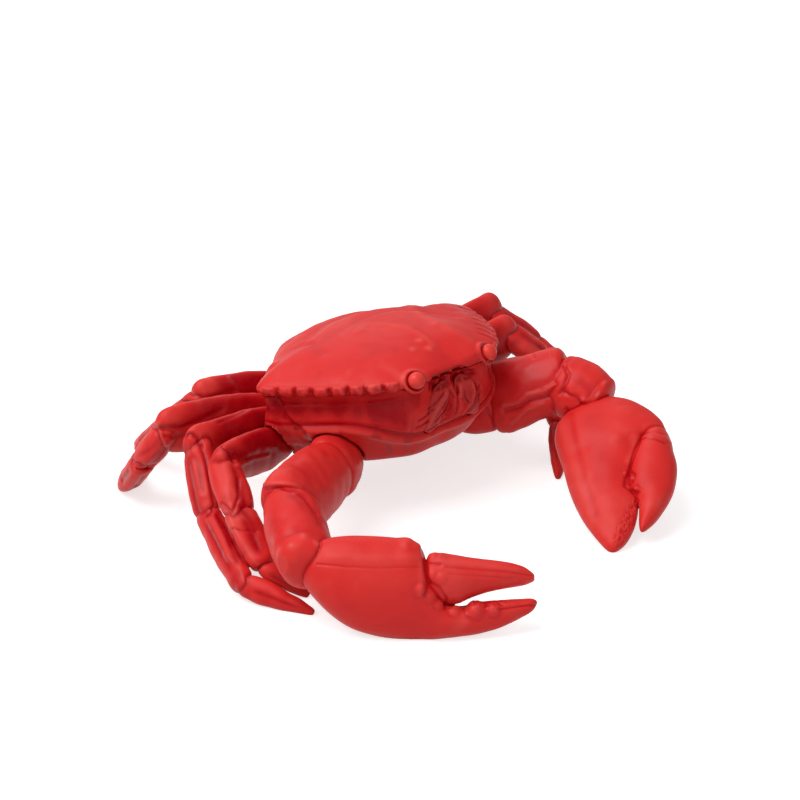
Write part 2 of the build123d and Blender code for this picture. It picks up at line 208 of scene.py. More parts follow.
def skin_group():
    """The skin of the casting: fine grain, pinholes and a slow unevenness."""
    group = bpy.data.node_groups.new("cast_skin", "ShaderNodeTree")
    add_input(group, "Grain", 0.25)
    add_input(group, "Pinholes", 0.5)
    add_input(group, "Unevenness", 0.8)
    add_output(group, "Height")
    nodes, links = group.nodes, group.links
    given = nodes.new("NodeGroupInput")
    result = nodes.new("NodeGroupOutput")
    place = nodes.new("ShaderNodeTexCoord")
    heights = []
    for source, size, detail in (("Grain", 2200.0, 3), ("Unevenness", 260.0, 3)):
        grain = nodes.new("ShaderNodeTexNoise")
        grain.inputs["Scale"].default_value = size
        grain.inputs["Detail"].default_value = detail
        links.new(place.outputs["Object"], grain.inputs["Vector"])
        heights.append(math_node(group, "MULTIPLY", grain.outputs["Fac"], given.outputs[source]))
    cells = nodes.new("ShaderNodeTexVoronoi")
    cells.inputs["Scale"].default_value = 190.0
    links.new(place.outputs["Object"], cells.inputs["Vector"])
    hole = nodes.new("ShaderNodeMapRange")
    hole.interpolation_type = "SMOOTHSTEP"
    hole.inputs["From Min"].default_value = 0.06
    hole.inputs["From Max"].default_value = 0.10
    hole.inputs["To Min"].default_value = -1.0
    hole.inputs["To Max"].default_value = 0.0
    links.new(cells.outputs["Distance"], hole.inputs["Value"])
    total = math_node(group, "MULTIPLY", hole.outputs["Result"], given.outputs["Pinholes"])
    for height in heights:
        total = math_node(group, "ADD", total, height)
    links.new(total, result.inputs["Height"])
    return group


wash_and_painted_shade = wash_and_shade_group()
paint_clouds = cloud_group()
cast_skin = skin_group()


def red_paint(
    name, main, deep, pale, rough=0.46, wash_and_shade_rough=0.27, spread=1.0, patch=45.0, relief=0.35, shine=0.22
):
    """Red paint over cast resin: main coat, dark glossy wash and painted shade, pale rubbed patches."""
    paint = bpy.data.materials.new(name)
    paint.use_nodes = True
    tree = paint.node_tree
    nodes, links = tree.nodes, tree.links
    shader = nodes["Principled BSDF"]
    wash_and_shade = nodes.new("ShaderNodeGroup")
    wash_and_shade.node_tree = wash_and_painted_shade
    wash_and_shade.inputs["Spread"].default_value = spread
    cloud = nodes.new("ShaderNodeGroup")
    cloud.node_tree = paint_clouds
    cloud.inputs["Patch Size"].default_value = patch
    skin = nodes.new("ShaderNodeGroup")
    skin.node_tree = cast_skin

    def blend(low, high, mask, strength):
        """One coat over another where the mask is."""
        mix = nodes.new("ShaderNodeMix")
        mix.data_type = "RGBA"
        links.new(math_node(tree, "MULTIPLY", mask, strength), mix.inputs["Factor"])
        if isinstance(low, tuple):
            mix.inputs["A"].default_value = low + (1,)
        else:
            links.new(low, mix.inputs["A"])
        mix.inputs["B"].default_value = high + (1,)
        return mix.outputs["Result"]

    coat = blend(main, pale, cloud.outputs["Pale"], 0.55)
    coat = blend(coat, deep, cloud.outputs["Deep"], 0.30)
    coat = blend(coat, pale, wash_and_shade.outputs["Worn"], 0.75)
    # The dark colour of the wash, laid also as painted shade where shade is marked.
    coat = blend(coat, deep, wash_and_shade.outputs["Wash And Painted Shade"], 0.92)
    links.new(coat, shader.inputs["Base Color"])
    gloss = nodes.new("ShaderNodeMapRange")
    gloss.inputs["To Min"].default_value = rough
    gloss.inputs["To Max"].default_value = wash_and_shade_rough
    links.new(wash_and_shade.outputs["Wash And Painted Shade"], gloss.inputs["Value"])
    links.new(gloss.outputs["Result"], shader.inputs["Roughness"])
    bump = nodes.new("ShaderNodeBump")
    bump.inputs["Strength"].default_value = relief
    bump.inputs["Distance"].default_value = 0.25 * mm
    links.new(skin.outputs["Height"], bump.inputs["Height"])
    links.new(bump.outputs["Normal"], shader.inputs["Normal"])
    shader.inputs["Specular IOR Level"].default_value = shine
    return paint


main_red = (0.70, 0.020, 0.018)
deep_red = (0.36, 0.0, 0.006)
pale_red = (0.78, 0.085, 0.070)
shell_paint = red_paint("shell_paint", main_red, deep_red, pale_red)


def give(piece, paint, *nodes):
    """Paints a finished piece, lets it stand for its solids and fixes it to the figure."""
    piece.data.materials.clear()
    piece.data.materials.append(paint)
    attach(piece, "root")
    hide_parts(*nodes)


def points_of(piece):
    """The points of a piece and their outward directions, in millimetres."""
    count = len(piece.data.vertices)
    places = np.empty(count * 3)
    piece.data.vertices.foreach_get("co", places)
    outward = np.empty(count * 3)
    piece.data.vertices.foreach_get("normal", outward)
    return places.reshape(-1, 3) / mm, outward.reshape(-1, 3)


def put_points(piece, places):
    """Moves the points of a piece to these places, in millimetres, inside the box of the solids."""
    places = np.clip(places * mm, cad_box[0], cad_box[1])
    piece.data.vertices.foreach_set("co", places.ravel())
    piece.data.update()


def put_mark(piece, name, values):
    """Writes a value for each point, such as how deep in a recess it lies."""
    mark = piece.data.attributes.get(name) or piece.data.attributes.new(name, "FLOAT", "POINT")
    mark.data.foreach_set("value", np.clip(values, 0, 1).astype(np.float32))


def even_skin(piece, grain):
    """Gives a piece one closed skin of small faces of the same size, softened and unmarked."""
    bpy.context.view_layer.objects.active = piece
    skin = piece.modifiers.new("even_skin", "REMESH")
    skin.mode = "VOXEL"
    skin.voxel_size = grain
    bpy.ops.object.modifier_apply(modifier="even_skin")
    soft = piece.modifiers.new("soft", "SMOOTH")
    soft.factor = 0.5
    soft.iterations = 4
    bpy.ops.object.modifier_apply(modifier="soft")
    bpy.ops.object.shade_smooth()
    for mark in ("recess", "crest"):
        put_mark(piece, mark, np.zeros(len(piece.data.vertices)))


def near(value, middle, width):
    """One at the middle, fading to nothing about twice the width away."""
    return np.exp(-(((value - middle) / width) ** 2))


def ramp(value, low, high):
    """Nothing below low, one above high, smooth between."""
    t = np.clip((value - low) / (high - low), 0, 1)
    return t * t * (3 - 2 * t)


def stroke(u, v, line, width):
    """One along a drawn line, fading away from it over the width."""
    nearest = np.full(len(u), np.inf)
    for (u1, v1), (u2, v2) in zip(line, line[1:]):
        du, dv = u2 - u1, v2 - v1
        t = np.clip(((u - u1) * du + (v - v1) * dv) / (du * du + dv * dv), 0, 1)
        nearest = np.minimum(nearest, np.hypot(u - u1 - t * du, v - v1 - t * dv))
    return np.exp(-((nearest / width) ** 2))


def uneven(places, size, amount):
    """Slow hand-made unevenness of a surface."""
    return np.array([noise.noise(Vector(p) / size) for p in places]) * amount


shell_width = 120.0
stance = np.array((3.7, 27.7, 0.0))
edge_height = 54.0
body_tilt = np.radians(6.5)


def body_place(places):
    """Across and back from the middle of the shell, and up from its edge, along the tilted body."""
    x, y, z = (places - (stance[0], stance[1], edge_height)).T
    return (
        x, y * np.cos(body_tilt) - z * np.sin(body_tilt), y * np.sin(body_tilt) + z * np.cos(body_tilt)
    )


# Low forms of the back, in millimetres across and back from the middle of the shell: the line of
# each ridge or furrow, then its width and its height or depth.
back_ridges = (
    (((-13.7, -11.3), (-7.0, -8.6), (-1.7, -16.0), (1.1, -24.0), (1.1, -32.0), (0.0, -38.0)), 2.2, 0.60),
    (((24.0, -1.6), (16.6, -19.4), (15.1, -34.0), (16.7, -42.0)), 2.4, 0.55),
    (((-26.0, 1.0), (-14.0, 5.0), (-2.0, 6.5), (8.0, 5.0), (17.0, 4.0), (27.0, -1.0)), 2.6, 0.70),
    (((-20.0, 15.0), (-8.0, 19.0), (8.0, 19.0), (20.0, 15.0)), 3.0, 0.55),
    (((12.2, -5.6), (17.5, -14.0)), 2.2, 0.50),
)
back_furrows = (
    (((-28.0, -6.0), (-14.0, -1.0), (0.0, 0.5), (10.0, -1.0), (22.0, -8.0), (31.0, -20.0)), 2.4, 0.60),
    (((-22.0, 12.0), (-8.0, 13.0), (8.0, 13.0), (22.0, 12.0)), 2.4, 0.50),
    (((-34.0, -12.0), (-30.0, -4.0), (-31.0, 6.0)), 2.4, 0.40),
    (((36.0, -14.0), (31.0, -4.0), (32.0, 6.0)), 2.4, 0.40),
)
# Small bumps of the back: across and back, then the width and the height of each.
back_bumps = (
    (-2.6, -34.1, 1.5, 0.8), (-9.4, -36.7, 1.4, 0.7), (-3.0, -39.2, 1.4, 0.6), (12.8, -27.0, 1.6, 0.4),
)
# A knob on the right flank: its place across, back and up from the edge, its width and its height.
flank_knob = (-43.5, 6.0, 1.5)
flank_knob_width = 2.2
flank_knob_rise = 1.4
# The teeth of the left margin, as shares of the shell's width; the right one mirrors them.
tooth_shares = (
    (0.240, -0.357), (0.281, -0.322), (0.320, -0.282), (0.356, -0.239), (0.390, -0.193), (0.421, -0.144),
    (0.449, -0.094), (0.473, -0.043),
)
eye_across = 20.2
eye_back = -47.8
eye_lift = -0.6

# Lines of the mouth, in millimetres across and up from the edge of the shell.
mouth_cuts = (
    ((-3.6, -12.6), (-5.6, -13.8), (-7.4, -15.2)),
    ((-2.2, -14.2), (-4.4, -15.8), (-6.4, -17.6)),
    ((-1.0, -15.8), (-3.0, -17.5), (-4.8, -19.4)),
    ((-7.2, -17.6), (-9.3, -18.8), (-11.0, -19.7)),
    ((-4.6, -20.6), (-8.6, -22.4)),
    ((-12.2, -14.7), (-15.5, -16.3), (-18.9, -17.5)),
    ((-6.5, -9.6), (-9.6, -11.8)),
    ((-10.5, -12.4), (-14.0, -14.0)),
    ((-14.5, -19.0), (-19.5, -20.2)),
    ((-9.5, -21.4), (-14.0, -22.6)),
    ((-1.4, -10.0), (-0.2, -11.8), (0.1, -13.5)),
    ((1.9, -8.8), (2.6, -12.0), (1.9, -16.0), (1.2, -20.0), (-1.6, -23.0)),
    ((5.4, -12.0), (6.0, -14.8), (8.0, -17.5)),
    ((11.7, -10.5), (13.3, -14.5), (11.0, -18.5), (7.0, -22.0)),
    ((14.5, -12.5), (15.0, -15.5), (13.0, -18.5)),
)
mouth_rims = (
    ((-0.9, -8.6), (0.9, -12.1), (0.4, -16.0), (-0.6, -19.9), (-3.6, -23.1)),
    ((3.4, -9.6), (3.6, -14.0), (3.0, -19.0)),
    ((9.9, -10.2), (10.6, -13.6), (9.0, -18.5), (5.0, -21.5)),
    ((13.2, -10.2), (16.0, -14.0), (14.2, -18.0), (8.7, -22.3)),
    ((-5.0, -10.0), (-9.0, -13.0), (-12.5, -17.0), (-14.5, -21.0)),
    ((-21.9, -15.3), (-22.8, -18.0), (-23.0, -20.3)),
)
# The struts left standing in the hollow under the brow, each with its width.
brow_struts = (
    (((-1.2, -0.5), (-0.4, -3.5), (0.1, -7.5)), 0.6),
    (((6.5, -2.0), (5.0, -5.0), (5.5, -8.0)), 0.5),
    (((-8.5, -1.5), (-6.0, -4.5), (-7.0, -7.0)), 0.5),
)
cut_width = 0.50
rim_width = 0.75


def face_carving(across, lift, outward):
    """The face between the eyes: a rough hollow under the brow, then leaves with slanting ribs."""
    facing = ramp(-outward[:, 1], 0.15, 0.5)
    hollow_roof = -0.5 - 4.9 * ramp(across, 2.0, 14.0)
    hollow = ramp(lift, -8.6, -6.9) * ramp(-lift, -hollow_roof, 0.9 - hollow_roof)
    hollow = hollow * ramp(across, -13.0, -10.5) * ramp(-across, -16.0, -13.5)
    struts = np.maximum.reduce([stroke(across, lift, line, width) for line, width in brow_struts])
    hollow = hollow * (1 - 0.8 * struts)
    cuts = np.maximum.reduce([stroke(across, lift, line, cut_width) for line in mouth_cuts])
    rims = np.maximum.reduce([stroke(across, lift, line, rim_width) for line in mouth_rims])
    push = facing * (0.6 * rims - 0.55 * cuts - 1.2 * hollow)
    recess = facing * np.maximum(0.95 * cuts, 0.85 * hollow)
    return push, recess, 0.55 * facing * rims


def through(stations, column, where):
    """A smooth line through one column of the stations, read at these places along the piece."""
    along, value = stations[:, 0], stations[:, column]
    slope = np.gradient(value, along)
    i = np.clip(np.searchsorted(along, where) - 1, 0, len(along) - 2)
    step = along[i + 1] - along[i]
    t = (where - along[i]) / step
    return (
        value[i] * (2 * t**3 - 3 * t**2 + 1)
        + value[i + 1] * (3 * t**2 - 2 * t**3)
        + slope[i] * step * (t**3 - 2 * t**2 + t)
        + slope[i + 1] * step * (t**3 - t**2)
    )


# Half of the shell's outline from the brow round to the back edge, as shares of its width, and the
# shell's section from the top of the dome to the middle of its flat underside: how far along, the
# share of the outline there, and the height over the edge in millimetres.
half_outline = (
    (0.00, -0.402), (0.09, -0.405), (0.17, -0.394), (0.235, -0.364), (0.30, -0.309), (0.362, -0.239),
    (0.42, -0.155), (0.467, -0.070), (0.492, 0.000), (0.415, 0.055), (0.315, 0.130), (0.225, 0.208),
    (0.14, 0.255), (0.00, 0.272),
)
dome_section = np.array((
    (0.00, 0.00, 13.0), (0.06, 0.12, 12.9), (0.13, 0.26, 12.3), (0.22, 0.45, 10.9), (0.32, 0.65, 8.5),
    (0.41, 0.82, 5.3), (0.47, 0.935, 2.4), (0.50, 0.985, 0.5), (0.515, 1.00, -1.2), (0.53, 0.985, -2.8),
    (0.545, 0.955, -3.5), (0.75, 0.50, -3.5), (1.00, 0.00, -3.5),
))
# How far the crown of the dome lies in front of the middle of the outline.
crown_forward = 8.4
left_half = [(-x, y) for x, y in half_outline[-2:0:-1]]
ring = list(half_outline) + left_half
ring = np.array([(i / len(ring), x, y) for i, (x, y) in enumerate(ring)])
ring = np.vstack((ring[-3:] - (1, 0, 0), ring, ring[:3] + (1, 0, 0)))

bpy.ops.object.select_all(action="DESELECT")
bpy.ops.mesh.primitive_uv_sphere_add(segments=360, ring_count=180, radius=1.0)
shell = bpy.context.object
shell.name = "shell"
shell.data.name = "shell"
ball = np.empty(len(shell.data.vertices) * 3)
shell.data.vertices.foreach_get("co", ball)
ball = ball.reshape(-1, 3)
down = np.arccos(np.clip(ball[:, 2], -1, 1)) / np.pi
turn = np.mod(np.arctan2(ball[:, 1], ball[:, 0]) / (2 * np.pi), 1)
wide = through(dome_section, 1, down) * shell_width
across = wide * through(ring, 1, turn)
back = wide * through(ring, 2, turn) - crown_forward * (1 - wide / shell_width)
lift = through(dome_section, 2, down)


def world_place(across, back, lift):
    """The place of a point given across, back and up along the tilted body."""
    y = back * np.cos(body_tilt) + lift * np.sin(body_tilt)
    z = lift * np.cos(body_tilt) - back * np.sin(body_tilt)
    return np.stack((across, y, z), axis=-1) + (stance[0], stance[1], edge_height)


put_points(shell, world_place(across, back, lift))

# The rings round the eyes belong to the same casting: each lies just behind its eye, and faces
# forwards, outwards and up.
ring_behind = 1.3
ring_below = 0.3
ring_radius = 4.2 * mm
ring_thickness = 0.9 * mm
for side in (-1, 1):
    ring_place = Vector(world_place(side * eye_across, eye_back + ring_behind, eye_lift - ring_below)) * mm
    facing = Vector((side * 0.25, -0.80, 0.50))
    bpy.ops.mesh.primitive_torus_add(
        location=ring_place, rotation=facing.to_track_quat("Z", "Y").to_euler(), major_segments=64,
        minor_segments=24, major_radius=ring_radius, minor_radius=ring_thickness,
    )
    bpy.ops.object.transform_apply(location=True, rotation=True, scale=True)
    shell.select_set(True)
    bpy.context.view_layer.objects.active = shell
    bpy.ops.object.join()
    bpy.ops.object.select_all(action="DESELECT")
shell.select_set(True)
shell_grain = 0.52 * mm
even_skin(shell, shell_grain)
places, outward = points_of(shell)
across, back, lift = body_place(places)
roof = ramp(outward[:, 2], 0.35, 0.75)
push = uneven(places, 15.0, 0.7) * roof + uneven(places, 5.0, 0.12)
high_paint = np.zeros(len(places))
low_paint = np.zeros(len(places))
for line, width, rise in back_ridges:
    ridge = stroke(across, back, line, width) * roof
    push += rise * ridge
    high_paint = np.maximum(high_paint, 0.35 * ridge)
for line, width, depth in back_furrows:
    furrow = stroke(across, back, line, width) * roof
    push -= depth * furrow
    low_paint = np.maximum(low_paint, 0.12 * furrow)
for x, y, width, rise in back_bumps:
    bump = np.exp(-((across - x) ** 2 + (back - y) ** 2) / width**2) * roof
    push += rise * bump
    high_paint = np.maximum(high_paint, 0.8 * bump)
far = np.linalg.norm(np.stack((across, back, lift), axis=-1) - flank_knob, axis=1)
push += flank_knob_rise * near(far, 0, flank_knob_width)

# The toothed edge: low lobes pushed out of the shell's rim, with a painted notch between them. On
# the left margin the lobes are flatter, and the notches run in over the roof as pleats.
edge = ramp(outward[:, 2], -0.9, -0.3) * ramp(-roof, -0.75, -0.1) * ramp(lift, -4.0, -2.6)
lobes = np.zeros(len(places))
notches = np.zeros(len(places))
pleats = np.zeros(len(places))
for side in (-1, 1):
    teeth = np.array([(side * x, y) for x, y in tooth_shares]) * shell_width
    for number, (x, y) in enumerate(teeth):
        size = 2.9 + 0.5 * np.sin(number * 2.3 + side)
        distance = np.hypot(across - x, back - y) / (1.15 * size)
        lobes = np.maximum(lobes, np.sqrt(np.clip(1 - distance**2, 0, 1)))
    for (x1, y1), (x2, y2) in zip(teeth, teeth[1:]):
        distance = np.hypot(across - (x1 + x2) / 2, back - (y1 + y2) / 2)
        notches = np.maximum(notches, ramp(-distance, -1.5, -0.4))
        if side > 0:
            middle_x, middle_y = (x1 + x2) / 2, (y1 + y2) / 2
            pleat = ((middle_x, middle_y), (middle_x * 0.86, middle_y * 0.90))
            pleats = np.maximum(pleats, stroke(across, back, pleat, 0.7))
pleats = pleats * ramp(outward[:, 2], -0.2, 0.3)
left_edge = 1 - 0.55 * ramp(across, 20.0, 30.0)
lobes = lobes * edge
notches = notches * edge * left_edge
push += 1.9 * lobes * left_edge - 0.7 * notches - 0.55 * pleats
ragged = edge * ramp(np.abs(across), 24.0, 29.0) * ramp(-back, -2.0, 4.0)
push += ragged * uneven(places, 1.6, 0.5)

# The wash has run into the sockets of the eyes and the rings are rubbed pale.
rings = np.zeros(len(places))
sockets = np.zeros(len(places))
for x in (-eye_across, eye_across):
    reach = np.sqrt((across - x) ** 2 + (back - eye_back) ** 2 + (lift - eye_lift) ** 2)
    rings = np.maximum(rings, ramp(-reach, -7.2, -6.0))
    sockets = np.maximum(sockets, ramp(-reach, -4.3, -3.9))
face_push, face_recess, _ = face_carving(across, lift, outward)
clear_of_eyes = 1 - np.maximum(rings, sockets)
places += outward * (push + face_push * clear_of_eyes)[:, None]

# The crown is let down a little, so that its swellings stay under the top of the solid.
crown_drop = 0.75
places[:, 2] -= crown_drop * ramp(places[:, 2], 58.0, 68.5)
put_points(shell, places)
grit = np.clip(uneven(places, 1.3, 2.2) + 0.35, 0, 1)
gritty = ragged * grit * ramp(-lift, -0.5, 1.5)
tooth_tops = lobes * ramp(lift, -2.0, 0.0) * (1 - notches)
put_mark(shell, "recess", np.maximum.reduce((
    low_paint, 0.9 * notches, 0.55 * pleats, 0.7 * gritty, sockets, face_recess * clear_of_eyes
)))
put_mark(shell, "crest", np.maximum.reduce((high_paint, 0.5 * tooth_tops, 0.35 * rings)))
give(shell, shell_paint, "carapace")


# Limbs: two claw arms and eight legs, cast in resin in short pieces that are glued end to end. The
# tables give each knuckle as shares of the shell's width, across, back and up, and the height and
# thickness of each piece along its length. A piece is a ball drawn out to those ovals.
def spot(shares):
    """A place in millimetres from its shares of the shell's width."""
    return stance + np.array(shares) * shell_width


def angle_near(turn, middle, width):
    """One at an angle round the piece, fading to nothing about twice the width away."""
    return np.exp(-((np.angle(np.exp(1j * (turn - middle))) / width) ** 2))


def ball_of_rings(name, around, rings):
    """A ball whose rings will become the ovals of a piece, with its ring and angle per point."""
    bpy.ops.object.select_all(action="DESELECT")
    bpy.ops.mesh.primitive_uv_sphere_add(segments=around, ring_count=rings, radius=1.0)
    piece = bpy.context.object
    piece.name = name
    piece.data.name = name
    bpy.ops.object.shade_smooth()
    count = len(piece.data.vertices)
    ball = np.empty(count * 3)
    piece.data.vertices.foreach_get("co", ball)
    ball = ball.reshape(-1, 3)
    height = np.clip(-ball[:, 2], -1, 1)
    turn = np.arctan2(ball[:, 1], ball[:, 0])
    return piece, height, turn


# Creases and ridges drawn on the show side of the limbs. The points are millimetres across and up in
# the plane a viewer faces, then width, height (less than nothing for a crease), wash and wear. The
# wash column also lays painted shade, as in the wide band over the flat face of the left arm.
show_middle = np.array(view_centre) / mm
show_reach = view_distance / mm
show_side = np.array(view_back)
show_across = np.cross((0, 0, 1), show_side)
show_across /= np.linalg.norm(show_across)
show_up = np.cross(show_side, show_across)
right_wrist_crease = (
    ((-55.1, -35.7), (-48.1, -35.0), (-41.4, -36.2), (-37.4, -39.1), (-32.9, -45.2)), 0.8, -0.8, 0.9, 0.0,
)
left_wrist_crease = (((65.7, 13.7), (67.4, 10.2), (65.7, 5.4), (64.0, 2.6)), 0.9, -0.8, 1.0, 0.0)
limb_lines = {
    "right_leg_1": (
        (((-74.2, -17.7), (-71.7, -18.3), (-68.3, -20.6), (-66.3, -24.5)), 0.9, -0.7, 1.0, 0.0),
        (((-74.5, -14.9), (-71.1, -9.9), (-62.1, -6.8), (-53.1, -7.4)), 1.4, 0.5, 0.0, 0.5),
        (((-67.7, -21.1), (-61.0, -22.8), (-53.1, -20.6)), 3.2, -0.3, 0.9, 0.0),
        (((-65.5, -26.7), (-59.3, -23.9), (-52.6, -22.2)), 0.7, 0.5, 0.0, 0.5),
        (((-64.6, -31.8), (-64.4, -38.5), (-67.2, -45.0), (-71.1, -41.3)), 0.8, -0.8, 0.9, 0.0),
        (((-70.0, -21.7), (-68.3, -30.7), (-68.6, -38.5)), 2.0, 0.5, 0.0, 0.5),
        (((-71.1, -41.9), (-66.6, -51.4), (-62.1, -64.0)), 1.3, 0.6, 0.0, 0.5),
        (((-63.8, -41.9), (-60.4, -47.5), (-57.6, -52.5)), 1.6, -0.6, 0.8, 0.0),
        (((-66.6, -51.4), (-62.1, -52.3), (-57.1, -52.5)), 0.5, -0.3, 0.6, 0.0),
    ),
    "right_leg_2": (
        (((-85.7, -14.1), (-83.4, -13.5), (-81.2, -14.9), (-79.5, -18.3)), 0.9, -0.7, 1.0, 0.0),
        (((-85.7, -13.3), (-80.1, -8.8), (-73.3, -4.3), (-65.5, -2.0)), 1.4, 0.5, 0.0, 0.5),
        (((-72.2, -8.8), (-68.3, -7.1), (-62.1, -4.3)), 1.2, -0.5, 0.9, 0.0),
        (
            ((-79.5, -18.3), (-77.3, -25.0), (-75.6, -35.7), (-74.2, -41.9), (-77.3, -46.4)),
            1.0, -0.8, 0.9, 0.0,
        ),
        (((-83.4, -19.4), (-82.3, -28.4), (-79.5, -38.5)), 1.6, 0.5, 0.0, 0.4),
        (((-82.9, -22.8), (-80.1, -27.3), (-79.0, -36.3)), 1.2, -0.4, 0.5, 0.0),
        (((-77.3, -46.4), (-72.8, -55.3), (-68.3, -64.0)), 1.2, 0.5, 0.0, 0.4),
        (((-73.3, -45.8), (-68.9, -54.8), (-65.5, -64.0)), 1.6, -0.7, 0.9, 0.0),
    ),
    "right_leg_3": (
        (((-96.6, -9.6), (-95.2, -14.4), (-93.6, -17.7)), 0.8, 0.6, 0.0, 0.7),
        (((-97.8, -10.4), (-96.4, -14.9), (-94.4, -18.9)), 0.6, -0.5, 0.8, 0.0),
        (((-95.8, -11.0), (-87.9, -10.7), (-81.2, -8.5), (-71.1, -4.0)), 1.1, -0.6, 0.9, 0.0),
        (((-94.1, -14.4), (-90.2, -14.9), (-86.8, -13.8)), 1.0, -0.4, 0.7, 0.0),
        (((-105.9, -14.9), (-102.0, -11.6), (-97.5, -10.4)), 2.0, 0.4, 0.0, 0.4),
        (((-109.3, -22.5), (-105.3, -25.0), (-101.4, -27.3), (-97.5, -26.2)), 0.8, -0.8, 0.9, 0.0),
        (((-103.7, -21.7), (-99.7, -19.4), (-96.9, -17.2)), 1.4, -0.4, 0.5, 0.0),
    ),
    "right_leg_4": (
        (((-68.0, 9.2), (-65.2, 5.8), (-64.6, 1.3)), 0.8, 0.6, 0.0, 0.8),
        (((-87.1, 0.2), (-82.3, -1.2), (-79.0, -1.8)), 0.8, -0.7, 1.0, 0.0),
        (((-76.7, 0.8), (-71.1, 2.5), (-66.0, 3.6)), 1.2, -0.5, 0.8, 0.0),
        (((-95.8, -6.5), (-89.1, -3.7), (-82.3, -2.6)), 1.2, 0.4, 0.0, 0.4),
    ),
    "right_claw_arm": (
        (
            ((-55.1, -33.7), (-48.1, -33.7), (-41.9, -34.6), (-36.9, -37.4), (-34.6, -41.3)),
            1.2, 0.7, 0.0, 0.6,
        ),
        right_wrist_crease,
        (((-49.8, -19.4), (-43.0, -22.8), (-35.2, -30.7)), 4.0, -0.5, 0.3, 0.0),
    ),
    "right_claw_wrist": (
        right_wrist_crease,
        (((-43.0, -37.4), (-36.3, -43.0), (-31.8, -49.2)), 2.2, -0.4, 0.5, 0.0),
    ),
    "left_claw_arm": (
        (
            ((41.2, -1.9), (46.8, -1.2), (50.6, 1.8), (57.1, 3.2), (61.6, 5.9), (65.7, 6.8), (68.1, 10.2)),
            0.9, 1.0, 0.0, 0.6,
        ),
        (((41.9, -4.3), (47.4, -3.2), (51.6, -0.5), (57.8, 0.9), (65.4, 3.3)), 1.0, -0.9, 1.0, 0.0),
        (((44.7, -9.1), (50.2, -4.3), (57.1, -1.5)), 0.7, 0.6, 0.0, 0.6),
        left_wrist_crease,
        # This wide band darkens the flat face of the arm toward the viewer: painted shade.
        (((40.6, 10.9), (46.8, 11.6), (55.0, 10.9)), 9.0, -0.5, 0.75, 0.0),
        (((51.6, 19.9), (53.3, 17.4)), 0.8, -0.5, 0.5, 0.0),
    ),
    "left_claw_wrist": (
        left_wrist_crease,
        (((65.4, 3.3), (70.9, 1.1), (73.7, -3.6), (77.8, -2.3), (81.6, -0.8)), 0.9, -0.9, 1.0, 0.0),
        (((66.8, -3.6), (68.8, -6.7), (72.3, -3.2)), 0.8, -0.7, 0.9, 0.0),
        (((68.1, 2.6), (72.3, -0.1), (75.0, -0.1)), 0.9, 0.7, 0.0, 0.5),
        (((69.5, 9.5), (75.0, 5.4), (79.2, 1.2)), 2.0, -0.4, 0.5, 0.0),
    ),
    "left_claw_shoulder": (
        (((40.9, -1.5), (39.5, -7.0)), 0.7, -0.6, 0.9, 0.0),
        (((34.3, -3.6), (37.8, -8.4), (37.1, -11.2)), 0.8, -0.6, 0.9, 0.0),
    ),
}


def line_carving(name, places, outward):
    """How far the drawn lines of a limb push its surface, and their marks."""
    lines = limb_lines.get(name, ())
    push = np.zeros(len(places))
    recess = np.zeros(len(places))
    crest = np.zeros(len(places))
    off = places - show_middle
    scale = show_reach / (show_reach - off @ show_side)
    u = (off @ show_across) * scale
    v = (off @ show_up) * scale
    facing = ramp(outward @ show_side, 0.0, 0.35)
    for line, width, height, wash_and_shade, wear in lines:
        amount = stroke(u, v, line, width) * facing
        push = push + height * amount
        recess = np.maximum(recess, wash_and_shade * amount)
        crest = np.maximum(crest, wear * amount)
    return push, recess, crest


def limb_piece(name, limb, start, end, hinge, high, thick, stations, carve, around=72, rings=96):
    """One limb piece from knuckle to knuckle. carve gives its ridges, furrows and marks."""
    stations = np.array(stations)
    piece, height, turn = ball_of_rings(name, around, rings)
    # The angle runs the other way round here, so that the faces point outwards.
    turn = -turn
    run = end - start
    length = np.linalg.norm(run)
    way = run / length
    side = np.array(hinge, float)
    side -= way * side.dot(way)
    side /= np.linalg.norm(side)
    top = np.cross(way, side)
    first, last = stations[0, 0], stations[-1, 0]
    along = first + (last - first) * (1 + height) / 2
    round_end = np.minimum(1, np.sqrt(1 - height**2) / 0.42)
    round_end = np.sqrt(np.clip(1 - (1 - round_end) ** 2, 0, 1))
    half_high = through(stations, 1, along) * high / 2 * round_end
    half_thick = through(stations, 2, along) * thick / 2 * round_end
    seen = turn - np.arctan2(top.dot(show_side), side.dot(show_side))
    if top[2] < 0:
        seen = -seen
    push, shift, recess, crest = carve(along, turn, seen)
    half_high = half_high * (1 + push)
    half_thick = half_thick * (1 + push)
    places = (
        start
        + np.outer(along * length + shift * length, way)
        + np.outer(half_thick * np.cos(turn), side)
        + np.outer(half_high * np.sin(turn), top)
    )
    put_points(piece, places)
    _, outward = points_of(piece)
    lumps = uneven(places, 5.0, 0.30) + uneven(places, 12.0, 0.35)
    line_push, line_recess, line_crest = line_carving(limb, places, outward)
    ends = np.clip(round_end * 1.4 - 0.4, 0, 1)
    put_points(piece, places + outward * ((lumps + line_push) * ends)[:, None])
    put_mark(piece, "recess", np.maximum.reduce((recess, line_recess, 0.6 * ramp(-lumps, 0.05, 0.45))))
    put_mark(piece, "crest", np.maximum.reduce((crest, line_crest, 0.45 * ramp(lumps, 0.10, 0.5))))
    return piece


